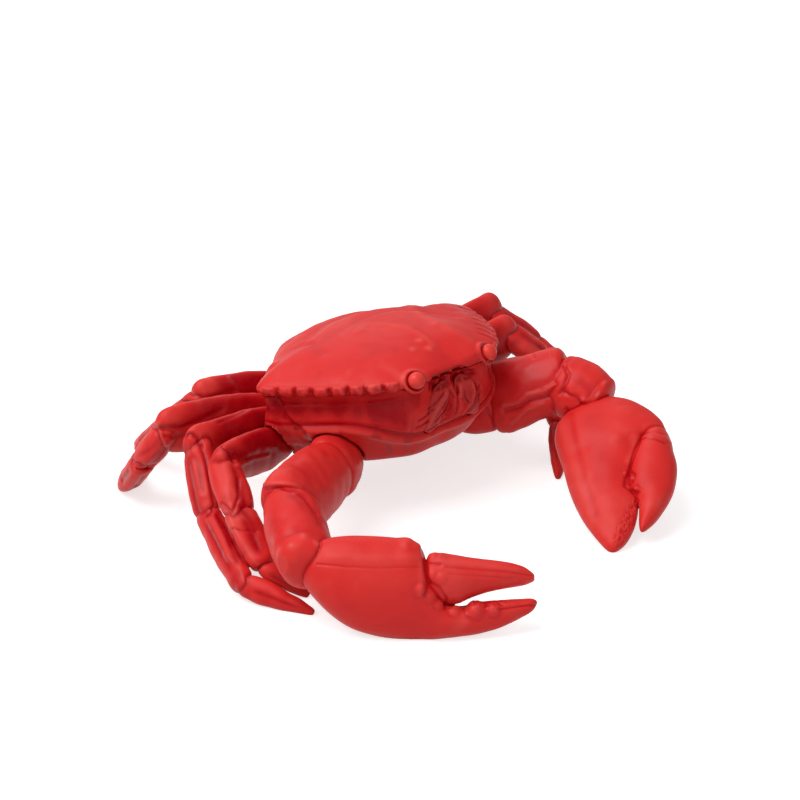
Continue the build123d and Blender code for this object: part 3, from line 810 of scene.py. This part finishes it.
# Claw arms: shoulder, arm and wrist of each claw, three castings glued end to end. The arm swells a
# little at its end, where the wrist is seated, and the left arm is fuller at its start.
claw_knuckles = {
    "right": ((-0.28, -0.18, 0.21), (-0.42, -0.26, 0.22), (-0.73, -0.41, 0.25), (-0.89, -0.65, 0.186)),
    "left": ((0.26, -0.17, 0.19), (0.35, -0.26, 0.23), (0.48, -0.44, 0.315), (0.517, -0.592, 0.258)),
}
claw_hinges = {"right": (0.35, -0.75, 0.45), "left": (-0.75, -0.35, 0.55)}
left_arm_stations = (
    (-0.10, 0.70, 0.55), (-0.05, 0.95, 0.76), (0.08, 1.12, 0.92), (0.30, 1.10, 0.98),
    (0.60, 1.03, 1.00), (0.85, 1.00, 0.98), (1.02, 0.97, 0.94), (1.14, 0.82, 0.80), (1.19, 0.58, 0.58),
)
claw_arm_pieces = (
    ("shoulder", 25.0, 18.0, (
        (-0.20, 0.60, 0.60), (0.20, 0.90, 0.90), (0.60, 1.00, 1.00), (1.00, 0.98, 0.98), (1.25, 0.75, 0.75),
    )),
    ("arm", 27.0, 20.0, (
        (-0.10, 0.50, 0.50), (-0.05, 0.74, 0.74), (0.08, 0.88, 0.90), (0.30, 0.97, 0.98),
        (0.60, 1.00, 1.00), (0.85, 1.00, 0.98), (1.02, 0.97, 0.94), (1.14, 0.82, 0.80), (1.19, 0.58, 0.58),
    )),
    ("wrist", 26.0, 22.0, (
        (-0.16, 0.55, 0.55), (-0.10, 0.74, 0.74), (0.06, 0.90, 0.90), (0.30, 0.99, 1.00),
        (0.60, 1.00, 1.00), (0.86, 0.92, 0.92), (1.05, 0.74, 0.76), (1.12, 0.50, 0.52),
    )),
)


def shoulder_carving(along, turn, seen):
    """A plain short piece, a little hollow along its upper side."""
    hollow = angle_near(seen, 0.3, 0.7) * ramp(along, 0.2, 0.6)
    return -0.03 * hollow, 0 * along, 0.35 * hollow, 0 * along


def arm_carving(along, turn, seen):
    """A broad smooth piece, flattened where it faces forward, with a soft swelling at its end."""
    swelling = near(along, 1.03, 0.06)
    flat = angle_near(seen, 0.1, 0.6) * ramp(along, 0.0, 0.3) * ramp(-along, -0.95, -0.7)
    keel = angle_near(seen, 1.3, 0.25) * ramp(along, 0.0, 0.3)
    # The flattened face toward the viewer is also painted a little darker: painted shade.
    return 0.02 * swelling - 0.05 * flat + 0.03 * keel, 0 * along, 0.15 * flat, 0.4 * keel


def wrist_carving(along, turn, seen):
    """A smooth swelling with a ridge over its top and small knobs where the palm is hinged."""
    ridge = angle_near(seen, 1.2, 0.3) * ramp(along, 0.15, 0.4) * ramp(-along, -0.95, -0.7)
    knobs = np.zeros(len(along))
    for place, angle in ((0.92, 0.75), (0.98, 0.2), (0.90, -0.35), (0.98, -0.8)):
        knobs = np.maximum(knobs, near(along, place, 0.045) * angle_near(seen, angle, 0.14))
    hollow = near(along, 0.82, 0.035) * angle_near(seen, 0.0, 0.6)
    push = 0.02 * ridge + 0.05 * knobs - 0.03 * hollow - 0.02
    return push, 0 * along, 0.6 * hollow, np.maximum(0.3 * ridge, 0.8 * knobs)


arm_carvings = {"shoulder": shoulder_carving, "arm": arm_carving, "wrist": wrist_carving}
claw_red = (0.73, 0.025, 0.021)
claw_deep = (0.50, 0.002, 0.010)
claw_pale = (0.80, 0.09, 0.075)
claw_paint = red_paint("claw_paint", claw_red, claw_deep, claw_pale, patch=38.0)
for side, knuckle_shares in claw_knuckles.items():
    knuckles = [spot(shares) for shares in knuckle_shares]
    for step, (piece_name, high, thick, stations) in enumerate(claw_arm_pieces):
        if (side, piece_name) == ("left", "arm"):
            stations = left_arm_stations
        piece = limb_piece(
            f"{side}_{piece_name}_skin", f"{side}_claw_{piece_name}", knuckles[step], knuckles[step + 1],
            claw_hinges[side], high, thick, stations, arm_carvings[piece_name], around=144, rings=144,
        )
        give(piece, claw_paint, f"{side}_claw_{piece_name}")


# Palms and fingers: the palm carries the fixed finger, and the movable finger is glued into its
# hinge. Both are cast in a two-part mould, which leaves a faint seam line along the middle.
palm_length = 81.0
palm_height = 36.5
palm_thick = 20.0
palm_frames = {
    "right": ((0.70, -0.71, 0.0), (-0.646, -0.636, 0.423), 0.70),
    "left": ((-0.50, -0.80, -0.335), (-0.44, -0.10, 0.89), 0.50),
}
palm_stations = {
    "right": (
        (-0.03, 0.58, 0.82, 0.34), (0.01, 0.46, 0.90, 0.58),
        (0.08, 0.29, 0.97, 0.80), (0.17, 0.14, 1.00, 0.95),
        (0.28, 0.05, 1.00, 1.00), (0.38, 0.01, 0.985, 0.98),
        (0.46, 0.00, 0.96, 0.92), (0.505, 0.00, 0.86, 0.86),
        (0.545, 0.00, 0.60, 0.78), (0.59, 0.01, 0.40, 0.68),
        (0.66, 0.03, 0.33, 0.58), (0.75, 0.06, 0.365, 0.50),
        (0.85, 0.13, 0.385, 0.42), (0.93, 0.21, 0.395, 0.32),
        (0.985, 0.29, 0.395, 0.18), (1.00, 0.33, 0.385, 0.10),
    ),
    "left": (
        (-0.03, 0.34, 0.60, 0.34), (0.01, 0.10, 0.68, 0.60),
        (0.06, -0.04, 0.82, 0.80), (0.12, -0.11, 0.91, 0.93),
        (0.20, -0.14, 1.00, 1.00), (0.28, -0.145, 1.04, 1.00), (0.335, -0.15, 1.00, 0.95),
        (0.375, -0.155, 0.80, 0.90), (0.42, -0.165, 0.69, 0.86), (0.50, -0.175, 0.59, 0.80),
        (0.60, -0.17, 0.50, 0.72), (0.69, -0.15, 0.47, 0.62), (0.77, -0.115, 0.39, 0.52),
        (0.84, -0.075, 0.295, 0.41), (0.89, -0.04, 0.19, 0.30), (0.92, -0.01, 0.09, 0.15),
    ),
}
finger_stations = {
    "right": (
        (0.49, 0.54, 0.68, 0.30), (0.52, 0.42, 0.79, 0.56),
        (0.57, 0.35, 0.835, 0.72), (0.64, 0.335, 0.82, 0.72),
        (0.70, 0.39, 0.797, 0.64), (0.76, 0.44, 0.78, 0.56),
        (0.83, 0.48, 0.762, 0.48), (0.90, 0.505, 0.735, 0.39),
        (0.955, 0.53, 0.69, 0.28), (0.99, 0.565, 0.63, 0.13),
    ),
    "left": (
        (0.29, 0.84, 0.97, 0.30), (0.325, 0.76, 1.03, 0.60),
        (0.38, 0.66, 1.045, 0.80), (0.45, 0.55, 1.02, 0.84),
        (0.54, 0.44, 0.995, 0.80), (0.62, 0.40, 0.93, 0.70),
        (0.70, 0.44, 0.83, 0.56), (0.77, 0.41, 0.69, 0.42),
        (0.825, 0.375, 0.55, 0.28), (0.86, 0.36, 0.42, 0.13),
    ),
}


def palm_axes(side):
    """Where a palm starts, the way its fixed finger points, the way up to its finger, and outwards."""
    long_way, out_way, _ = palm_frames[side]
    long_way = np.array(long_way) / np.linalg.norm(long_way)
    out_way = np.array(out_way) - long_way * np.dot(out_way, long_way)
    out_way /= np.linalg.norm(out_way)
    return spot(claw_knuckles[side][3]), long_way, np.cross(out_way, long_way), out_way


def palm_piece(name, side, stations, rings):
    """A palm or a finger: a ball drawn out along the palm, its rings made the ovals of the table."""
    stations = np.array(stations)
    piece, height, turn = ball_of_rings(name, rings, rings)
    origin, long_way, up_way, out_way = palm_axes(side)
    first, last = stations[0, 0], stations[-1, 0]
    along = first + (last - first) * (1 + height) / 2
    round_end = np.minimum(1, np.sqrt(1 - height**2) / 0.30)
    round_end = np.sqrt(np.clip(1 - (1 - round_end) ** 2, 0, 1))
    low, high = through(stations, 1, along), through(stations, 2, along)
    middle = (low + high) / 2 - palm_frames[side][2]
    half_high = (high - low) / 2 * palm_height * round_end
    half_thick = through(stations, 3, along) * palm_thick / 2 * round_end
    places = (
        origin
        + np.outer(along * palm_length, long_way)
        + np.outer(middle * palm_height + half_high * np.sin(turn), up_way)
        + np.outer(half_thick * np.cos(turn), out_way)
    )
    facing = ramp(np.cos(turn), -0.1, 0.35)
    push, recess, crest = claw_carving(side, places, facing)
    put_points(piece, places)
    _, outward = points_of(piece)
    put_points(piece, places + outward * push[:, None])
    put_mark(piece, "recess", recess)
    put_mark(piece, "crest", crest)
    return piece


# Drawn on the side of each claw: along from the wrist and up from its lower edge, in millimetres,
# then the width and the strength of each line.
claw_creases = {
    "right": (
        (((40.5, 32.0), (41.7, 27.5), (42.0, 24.0), (43.0, 20.5), (41.5, 16.0)), 0.75, 0.9),
        (((42.5, 27.0), (47.0, 26.6)), 0.5, 0.8),
        (((43.0, 20.5), (46.5, 18.5), (49.0, 14.5), (48.5, 11.5)), 0.7, 0.9),
        (((68.0, 11.0), (74.5, 11.9), (80.5, 12.3)), 0.45, 0.9),
        (((4.0, 26.8), (14.0, 26.0), (24.0, 25.6), (40.0, 25.9)), 0.32, 0.45),
        (((49.0, 26.0), (58.0, 25.0), (70.0, 24.0), (79.0, 22.6)), 0.40, 0.50),
        (((50.0, 23.6), (60.0, 22.6), (72.0, 21.6)), 0.40, 0.30),
    ),
    "left": (
        (((31.0, 26.5), (33.5, 30.0), (36.5, 34.5)), 0.6, 0.9),
        (((28.5, 27.5), (30.0, 31.0), (32.0, 35.0)), 0.6, 0.7),
        (((31.0, 26.5), (36.0, 23.0), (40.0, 20.0), (43.0, 18.0), (46.0, 16.0)), 0.7, 1.0),
        (((46.0, 16.0), (50.0, 14.2), (54.0, 17.5)), 0.9, 1.0),
        (((43.0, 18.0), (47.0, 19.0), (49.0, 17.0)), 0.6, 0.9),
        (((6.0, 5.0), (20.0, 2.5), (36.0, 1.0), (58.0, -0.5)), 1.6, 0.35),
        (((14.0, 12.0), (30.0, 9.0), (46.0, 7.0)), 4.5, 0.30),
    ),
}
claw_rims = {
    "right": (
        (((8.0, 29.6), (24.0, 29.0), (39.0, 29.2)), 1.7, 0.35),
        (((39.4, 33.0), (40.2, 28.0), (40.5, 22.0), (39.8, 16.5)), 0.9, 0.45),
        (((49.0, 27.6), (60.0, 26.6), (74.0, 24.6)), 0.9, 0.45),
    ),
    "left": (
        (((29.5, 25.0), (34.5, 22.0), (39.0, 18.6)), 1.0, 0.60),
        (((3.0, 0.5), (20.0, -1.2), (36.0, -2.5), (60.0, -3.5)), 2.2, 0.50),
        (((31.5, 33.0), (34.0, 36.5)), 1.0, 0.50),
    ),
}
# Knobs: along and up as before, then the radius and the height of each.
claw_knobs = {
    "right": (
        (35.6, 35.0, 3.0, 0.6), (38.8, 33.6, 2.6, 0.5), (44.4, 30.6, 2.6, 0.7), (47.2, 28.6, 2.2, 0.4),
        (43.8, 22.9, 2.2, 0.5), (47.2, 21.6, 2.4, 0.4), (40.2, 17.8, 2.4, 0.7), (43.6, 15.6, 2.2, 0.7),
        (46.8, 12.8, 1.9, 0.6), (52.0, 10.8, 2.2, 0.8), (59.1, 11.4, 3.2, 1.5), (65.6, 10.8, 2.3, 1.0),
    ),
    "left": (
        (30.4, 24.4, 2.4, 0.5), (28.5, 18.0, 3.0, 0.3), (16.0, 25.5, 4.5, 0.3), (27.0, 31.0, 2.4, 0.3),
        (44.0, 16.2, 1.0, 0.6), (47.5, 17.6, 1.0, 0.6), (50.5, 15.8, 1.0, 0.6), (52.5, 17.2, 0.9, 0.6),
    ),
}


def claw_carving(side, places, facing):
    """Creases, rims and knobs of a claw: how far they stand out, and where wash and wear lie."""
    origin, long_way, up_way, _ = palm_axes(side)
    run = (places - origin) @ long_way
    up = (places - origin) @ up_way + palm_frames[side][2] * palm_height
    creases = np.zeros(len(places))
    depth = np.zeros(len(places))
    for line, width, strength in claw_creases[side]:
        crease = stroke(run, up, line, width)
        creases = np.maximum(creases, strength * crease)
        depth = np.maximum(depth, 0.55 * strength * crease)
    rims = np.zeros(len(places))
    for line, width, strength in claw_rims[side]:
        rims = np.maximum(rims, strength * stroke(run, up, line, width))
    knobs = np.zeros(len(places))
    skirts = np.zeros(len(places))
    for x, y, radius, rise in claw_knobs[side]:
        distance = np.hypot(run - x, up - y) / radius
        knobs = np.maximum(knobs, rise * ramp(-distance, -1.15, -0.25))
        skirts = np.maximum(skirts, near(distance, 1.25, 0.25) * max(0.0, rise - 0.35))
    jaw = stroke(run, up, jaw_edges[side], 2.0) * np.clip(uneven(places, 1.1, 2.4) + 0.2, 0, 1)
    lumps = uneven(places, 7.0, 0.25) + uneven(places, 16.0, 0.35)
    push = 0.55 * rims - depth + knobs - 0.35 * jaw + lumps
    recess = np.maximum.reduce((creases, 0.75 * skirts, 0.7 * jaw))
    return push * facing, recess * facing, np.maximum(rims, 0.35 * knobs) * facing


# The rough inner edges of the jaws, where the wash has caught.
jaw_edges = {
    "right": ((50.0, 12.5), (55.0, 12.2), (69.0, 13.4)),
    "left": ((53.0, 18.0), (60.0, 14.0), (66.0, 9.5), (72.0, 4.5)),
}
for side in ("right", "left"):
    palm = palm_piece(f"{side}_palm_skin", side, palm_stations[side], rings=224)
    give(palm, claw_paint, f"{side}_claw_palm")
    finger = palm_piece(f"{side}_finger_skin", side, finger_stations[side], rings=144)
    give(finger, claw_paint, f"{side}_claw_finger")


# Walking legs: thigh, knee, shin and toe, each cast with a keel along its back and a furrow on
# each face, and glued into the cupped end of the one before it.
leg_knuckles = {
    "right": (
        (
            (-0.33, 0.01, 0.21), (-0.72, -0.09, 0.285), (-0.79, -0.245, 0.185),
            (-0.836, -0.405, 0.084), (-0.775, -0.535, 0.006),
        ),
        (
            (-0.27, 0.08, 0.24), (-0.69, 0.07, 0.29), (-0.785, -0.085, 0.13),
            (-0.925, -0.405, 0.052), (-0.84, -0.625, 0.006),
        ),
        (
            (-0.21, 0.14, 0.23), (-0.66, 0.24, 0.28), (-0.71, 0.31, 0.17),
            (-0.70, 0.40, 0.07), (-0.58, 0.55, 0.006),
        ),
        (
            (-0.15, 0.20, 0.28), (-0.46, 0.31, 0.31), (-0.52, 0.42, 0.20),
            (-0.50, 0.56, 0.09), (-0.42, 0.70, 0.006),
        ),
    ),
    "left": (
        (
            (0.33, 0.01, 0.21), (0.655, -0.045, 0.325), (0.73, -0.14, 0.24),
            (0.58, -0.36, 0.09), (0.39, -0.52, 0.006),
        ),
        (
            (0.26, 0.095, 0.24), (0.69, 0.07, 0.36), (0.815, -0.035, 0.245),
            (0.86, -0.30, 0.08), (0.74, -0.52, 0.006),
        ),
        ((0.21, 0.15, 0.23), (0.66, 0.25, 0.28), (0.75, 0.34, 0.17), (0.72, 0.46, 0.07), (0.60, 0.62, 0.006)),
        ((0.15, 0.20, 0.28), (0.46, 0.31, 0.31), (0.52, 0.42, 0.20), (0.50, 0.56, 0.09), (0.42, 0.70, 0.006)),
    ),
}
leg_stoutness = {
    "right": ((1.05, 1.25, 1.45, 1.2), (1.05, 1.15, 1.2, 1.1), (1.3, 1.5, 1.75, 1.75), (1.1, 1.2, 1.3, 1.3)),
    "left": ((1.25, 1.3, 1.25, 1.2), (1.35, 1.35, 1.25, 1.2), (1.25, 1.2, 1.2, 1.2), (1.15, 1.1, 1.1, 1.1)),
}
quarter = np.pi / 2


def thigh_carving(along, turn, seen):
    """A broad flat piece with a keel along its upper edge, its faces darkened with painted shade."""
    keel = angle_near(seen, 1.1, 0.30) * ramp(along, 0.15, 0.4)
    furrow = angle_near(seen, 0.5, 0.22) * ramp(along, 0.2, 0.4) * ramp(-along, -0.92, -0.7)
    # The broad faces, most of all the one toward the viewer, are painted darker: painted shade.
    painted_shade = angle_near(seen, -0.3, 0.9) + angle_near(turn, 0, 0.7) + angle_near(turn, 2 * quarter, 0.7)
    painted_shade = np.minimum(painted_shade, 1) * ramp(along, 0.10, 0.40) * ramp(-along, -0.98, -0.72)
    cuff = near(along, 1.0, 0.06) * angle_near(seen, 0.3, 1.2)
    push = 0.04 * keel - 0.05 * furrow + 0.05 * cuff - 0.03 * painted_shade
    return push, 0 * along, np.maximum(0.35 * furrow, 0.9 * painted_shade), 0.5 * keel + 0.4 * cuff


def knee_carving(along, turn, seen):
    """A cuff with a rounded back that runs out in a point over the shin, a furrow on each face."""
    face = angle_near(seen, 0.25, 0.75)
    side_groove = angle_near(seen, -0.75, 0.30) * ramp(along, 0.05, 0.35)
    back = angle_near(turn, quarter, 0.5)
    push = 0.06 * face * ramp(along, 0.2, 0.6) - 0.10 * side_groove
    push = push - 0.16 * (1 - face) * ramp(along, 0.75, 1.1)
    shift = 0.08 * face * ramp(along, 0.35, 1.1)
    worn = np.maximum(face * near(along, 0.80, 0.30), 0.5 * back)
    return push, shift, 0.8 * side_groove, 0.5 * worn


def shin_carving(along, turn, seen):
    """A longer piece with a keel on its back and one deep furrow along each face."""
    keel = np.maximum(angle_near(turn, quarter, 0.28), angle_near(seen, 0.35, 0.25))
    furrow = angle_near(seen, -0.35, 0.30) + angle_near(seen, 0.95, 0.22)
    furrow = furrow * ramp(along, 0.08, 0.3) * ramp(-along, -0.98, -0.75)
    push = 0.06 * keel - 0.12 * furrow
    return push, 0 * along, 0.85 * furrow, 0.45 * keel


def toe_carving(along, turn, seen):
    """The last piece, drawn to a point, with a fine furrow along each side."""
    furrow = angle_near(seen, -0.1, 0.22) + angle_near(seen, 2 * quarter, 0.22)
    furrow = furrow * ramp(along, 0.1, 0.3) * ramp(-along, -0.9, -0.6)
    keel = angle_near(turn, quarter, 0.3)
    return 0.03 * keel - 0.09 * furrow, 0 * along, 0.7 * furrow, 0.4 * keel


leg_pieces = (
    ("thigh", 17.5, 9.0, thigh_carving, (
        (-0.06, 0.42, 0.50), (0.10, 0.66, 0.74), (0.30, 0.92, 0.96), (0.55, 1.00, 1.00),
        (0.80, 0.94, 0.96), (0.95, 0.86, 0.92), (1.05, 0.74, 0.84), (1.11, 0.50, 0.60),
    )),
    ("knee", 11.0, 9.0, knee_carving, (
        (-0.16, 0.55, 0.60), (-0.06, 0.80, 0.82), (0.10, 0.94, 0.95), (0.45, 1.00, 1.00),
        (0.80, 0.96, 0.97), (1.02, 0.84, 0.88), (1.14, 0.50, 0.56),
    )),
    ("shin", 8.8, 7.0, shin_carving, (
        (-0.12, 0.62, 0.65), (-0.02, 0.92, 0.92), (0.15, 1.03, 1.02), (0.45, 1.05, 1.02),
        (0.75, 0.96, 0.97), (0.98, 0.82, 0.88), (1.07, 0.56, 0.62),
    )),
    ("toe", 8.5, 6.0, toe_carving, (
        (-0.12, 0.50, 0.55), (-0.02, 0.80, 0.82), (0.15, 0.97, 0.97), (0.40, 0.92, 0.94),
        (0.65, 0.68, 0.78), (0.88, 0.42, 0.52), (1.00, 0.24, 0.30),
    )),
)
leg_paint = red_paint("leg_paint", main_red, deep_red, pale_red, spread=1.15, patch=55.0)
for side, side_knuckles in leg_knuckles.items():
    for number, knuckle_shares in enumerate(side_knuckles):
        knuckles = [spot(shares) for shares in knuckle_shares]
        level_hinge = np.cross(knuckles[1] - knuckles[0], (0, 0, 1))
        bent_hinge = np.cross(knuckles[2] - knuckles[1], knuckles[4] - knuckles[2])
        for step, (piece_name, high, thick, carve, stations) in enumerate(leg_pieces):
            stout = leg_stoutness[side][number][step]
            piece = limb_piece(
                f"{side}_leg_{number + 1}_{piece_name}_skin", f"{side}_leg_{number + 1}",
                knuckles[step], knuckles[step + 1], bent_hinge if step else level_hinge,
                high * stout, thick * (1 + stout) / 2, stations, carve,
            )
            if piece_name == "toe":
                places, _ = points_of(piece)
                places[:, 2] = np.maximum(places[:, 2], 0)
                put_points(piece, places)
            give(piece, leg_paint, f"{side}_leg_{number + 1}_{piece_name}")


# Underbody: the walls under the shell and the breastplate, one casting. A rounded lip runs along the
# foot of the walls from the claws round to the mouth, with dark wash in the groove above it and
# painted shade over the hollow wall above that. Behind the claws the walls fold back in rough plates
# to the roots of the legs.
def cast_copy(node, name, grain):
    """A copy of a solid with an even skin of small faces, ready to be carved."""
    bpy.ops.object.select_all(action="DESELECT")
    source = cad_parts[node]
    source.select_set(True)
    bpy.context.view_layer.objects.active = source
    bpy.ops.object.duplicate()
    piece = bpy.context.object
    piece.name = name
    piece.data.name = name
    bpy.ops.object.mode_set(mode="EDIT")
    bpy.ops.mesh.select_all(action="SELECT")
    bpy.ops.mesh.remove_doubles(threshold=0.005 * mm)
    bpy.ops.object.mode_set(mode="OBJECT")
    even_skin(piece, grain)
    return piece


face_middle = 1.5
wall_grain = 0.6 * mm
walls = cast_copy("underbody", "body_walls", wall_grain)
places, outward = points_of(walls)
across, back, lift = body_place(places)
front = ramp(-back, -14.0, 6.0)
lip_level = -18.0 - 8.3 * ramp(across, -44.0, -18.0)
lip_level = np.where(across > 5.0, -26.3 + 8.0 * ramp(across, 5.0, 44.0), lip_level)
slope = ramp(outward[:, 2], -0.8, -0.6)
fold = back - np.interp(-lift, (2.7, 9.9, 14.7, 17.9), (-6.0, -7.5, -12.0, -15.5))
fold_crease = near(fold, 0.3, 0.7) * ramp(np.abs(across), 34.0, 40.0) * slope
behind = ramp(fold, -0.3, 1.8) * ramp(np.abs(across), 34.0, 40.0) * slope
plates = uneven(places, 4.5, 1.3) * behind
lip = near(lift, lip_level, 1.3) * front * slope
gutter = near(lift, lip_level + 2.6, 1.1) * front * slope
dish = ramp(-lift, 3.0, 9.0) * ramp(lift, lip_level + 2.0, lip_level + 9.0) * front * slope
dish = dish * ramp(np.abs(across - face_middle), 18.0, 30.0)
# A shallow groove just under the shell's edge, also marked with a band of painted shadow from the overhang.
under_edge = near(lift, -4.4, 0.9) * front * slope * ramp(np.abs(across - face_middle), 24.0, 32.0)
face_push, face_recess, face_crest = face_carving(across, lift, outward)
push = (1.0 * lip - 0.9 * gutter - 1.1 * dish - 0.5 * under_edge) * (1 - behind)
push += uneven(places, 9.0, 0.3) + plates - 1.6 * behind - 0.5 * fold_crease
places += outward * (push + face_push)[:, None]
put_points(walls, places)
streaks = np.array([noise.noise(Vector((p[0] * 0.22, p[1] * 0.22, p[2] * 0.03))) for p in places])
# Painted shade over the hollow wall between the shell's edge and the lip, broken into streaks.
painted_shade = dish * np.clip(0.85 + 1.1 * streaks, 0, 1)
drips = 0.5 * front * slope * ramp(-lift, 1.0, 4.0) * np.clip(3.0 * streaks - 0.4, 0, 1)
put_mark(walls, "recess", np.maximum.reduce((
    0.9 * gutter, painted_shade, drips, face_recess, 0.5 * under_edge, 0.9 * fold_crease, ramp(-plates, 0.1, 0.5)
)))
put_mark(walls, "crest", np.maximum.reduce((0.7 * lip, face_crest, 0.6 * ramp(plates, 0.1, 0.6))))
wall_deep = (0.40, 0.0, 0.006)
wall_paint = red_paint(
    "wall_paint", main_red, wall_deep, pale_red, wash_and_shade_rough=0.20, spread=1.25, shine=0.12
)
give(walls, wall_paint, "underbody")


# Apron: the tail flap folded up under the body, a flat resin casting glued into its bed on the
# underside. It is cast with the outlines of its rings as shallow grooves.
flap_grain = 0.5 * mm
groove_depth = 0.35
flap = cast_copy("apron", "tail_flap", flap_grain)
places, outward = points_of(flap)
across, back, lift = body_place(places)
grooves = np.sin(back * 1.35) ** 8
places -= outward * (groove_depth * grooves * (outward[:, 2] < -0.5))[:, None]
put_points(flap, places)
put_mark(flap, "recess", grooves * 0.7)
put_mark(flap, "crest", 0 * grooves)
give(flap, wall_paint, "apron")


# Eyes: two smooth resin beads, each glued into its ring on the shell and painted a lighter and
# glossier red than the shell round it.
eye_red = (0.82, 0.050, 0.038)
eye_pale = (0.88, 0.15, 0.12)
eye_paint = red_paint("eye_paint", eye_red, deep_red, eye_pale, rough=0.36, relief=0.15)
for side, mirror in (("right", -1), ("left", 1)):
    low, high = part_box(f"{side}_eye")
    centre = Vector(world_place(mirror * eye_across, eye_back, eye_lift)) * mm
    bpy.ops.object.select_all(action="DESELECT")
    bpy.ops.mesh.primitive_uv_sphere_add(
        segments=64, ring_count=48, radius=(high.x - low.x) / 2, location=centre
    )
    bead = bpy.context.object
    bead.name = f"{side}_eye_bead"
    bpy.ops.object.transform_apply(location=True, rotation=False, scale=False)
    bpy.ops.object.shade_smooth()
    put_mark(bead, "recess", np.zeros(len(bead.data.vertices)))
    put_mark(bead, "crest", np.zeros(len(bead.data.vertices)))
    give(bead, eye_paint, f"{side}_eye")


# Mouth plates: the pair of leaf-shaped plates that close the mouth, two small castings glued into
# their beds in the breastplate. The slanting ribs of the face run on over them.
leaf_grain = 0.3 * mm
leaf_rise = 0.3
mouth_red = (0.52, 0.022, 0.02)
mouth_paint = red_paint("mouth_paint", mouth_red, deep_red, pale_red, spread=1.1, patch=90.0)
for side in ("right", "left"):
    leaf = cast_copy(f"{side}_mouth_plate", f"{side}_mouth_leaf", leaf_grain)
    places, outward = points_of(leaf)
    across, _, lift = body_place(places)
    push, recess, crest = face_carving(across, lift, outward)
    places += outward * (push + leaf_rise)[:, None]
    put_points(leaf, places)
    put_mark(leaf, "recess", recess)
    put_mark(leaf, "crest", crest)
    give(leaf, mouth_paint, f"{side}_mouth_plate")


# Glue lines: where two pieces meet, the points beside the joint sink a little towards it and are
# marked as recess, so that the dark wash colour lies there as painted shade between the pieces.
def settle_joints(reach=1.6, sink=0.35):
    """Softens the surfaces of all pieces beside the pieces that they meet and darkens them with painted
    shade.
    """
    skins = [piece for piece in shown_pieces() if piece.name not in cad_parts]
    skins = [piece for piece in skins if "mouth_leaf" not in piece.name]
    trees = {}
    spans = {}
    for piece in skins:
        places, _ = points_of(piece)
        polygons = [tuple(face.vertices) for face in piece.data.polygons]
        trees[piece.name] = BVHTree.FromPolygons([Vector(p) for p in places], polygons)
        spans[piece.name] = (places.min(axis=0) - reach, places.max(axis=0) + reach)
    for piece in skins:
        places, outward = points_of(piece)
        closeness = np.zeros(len(places))
        for other in skins:
            if other is piece:
                continue
            low, high = spans[other.name]
            inside = np.all((places > low) & (places < high), axis=1)
            tree = trees[other.name]
            for i in np.nonzero(inside)[0]:
                found = tree.find_nearest(Vector(places[i]), reach)
                if found[0] is not None:
                    closeness[i] = max(closeness[i], 1 - found[3] / reach)
        mark = np.empty(len(places), dtype=np.float32)
        piece.data.attributes["recess"].data.foreach_get("value", mark)
        # Closeness to another piece: a slight sink, and painted shade where the pieces meet.
        joint = closeness**2.5
        put_points(piece, places - outward * (sink * joint)[:, None])
        put_mark(piece, "recess", np.maximum(mark, 0.8 * joint))


settle_joints()

bpy.context.view_layer.update()
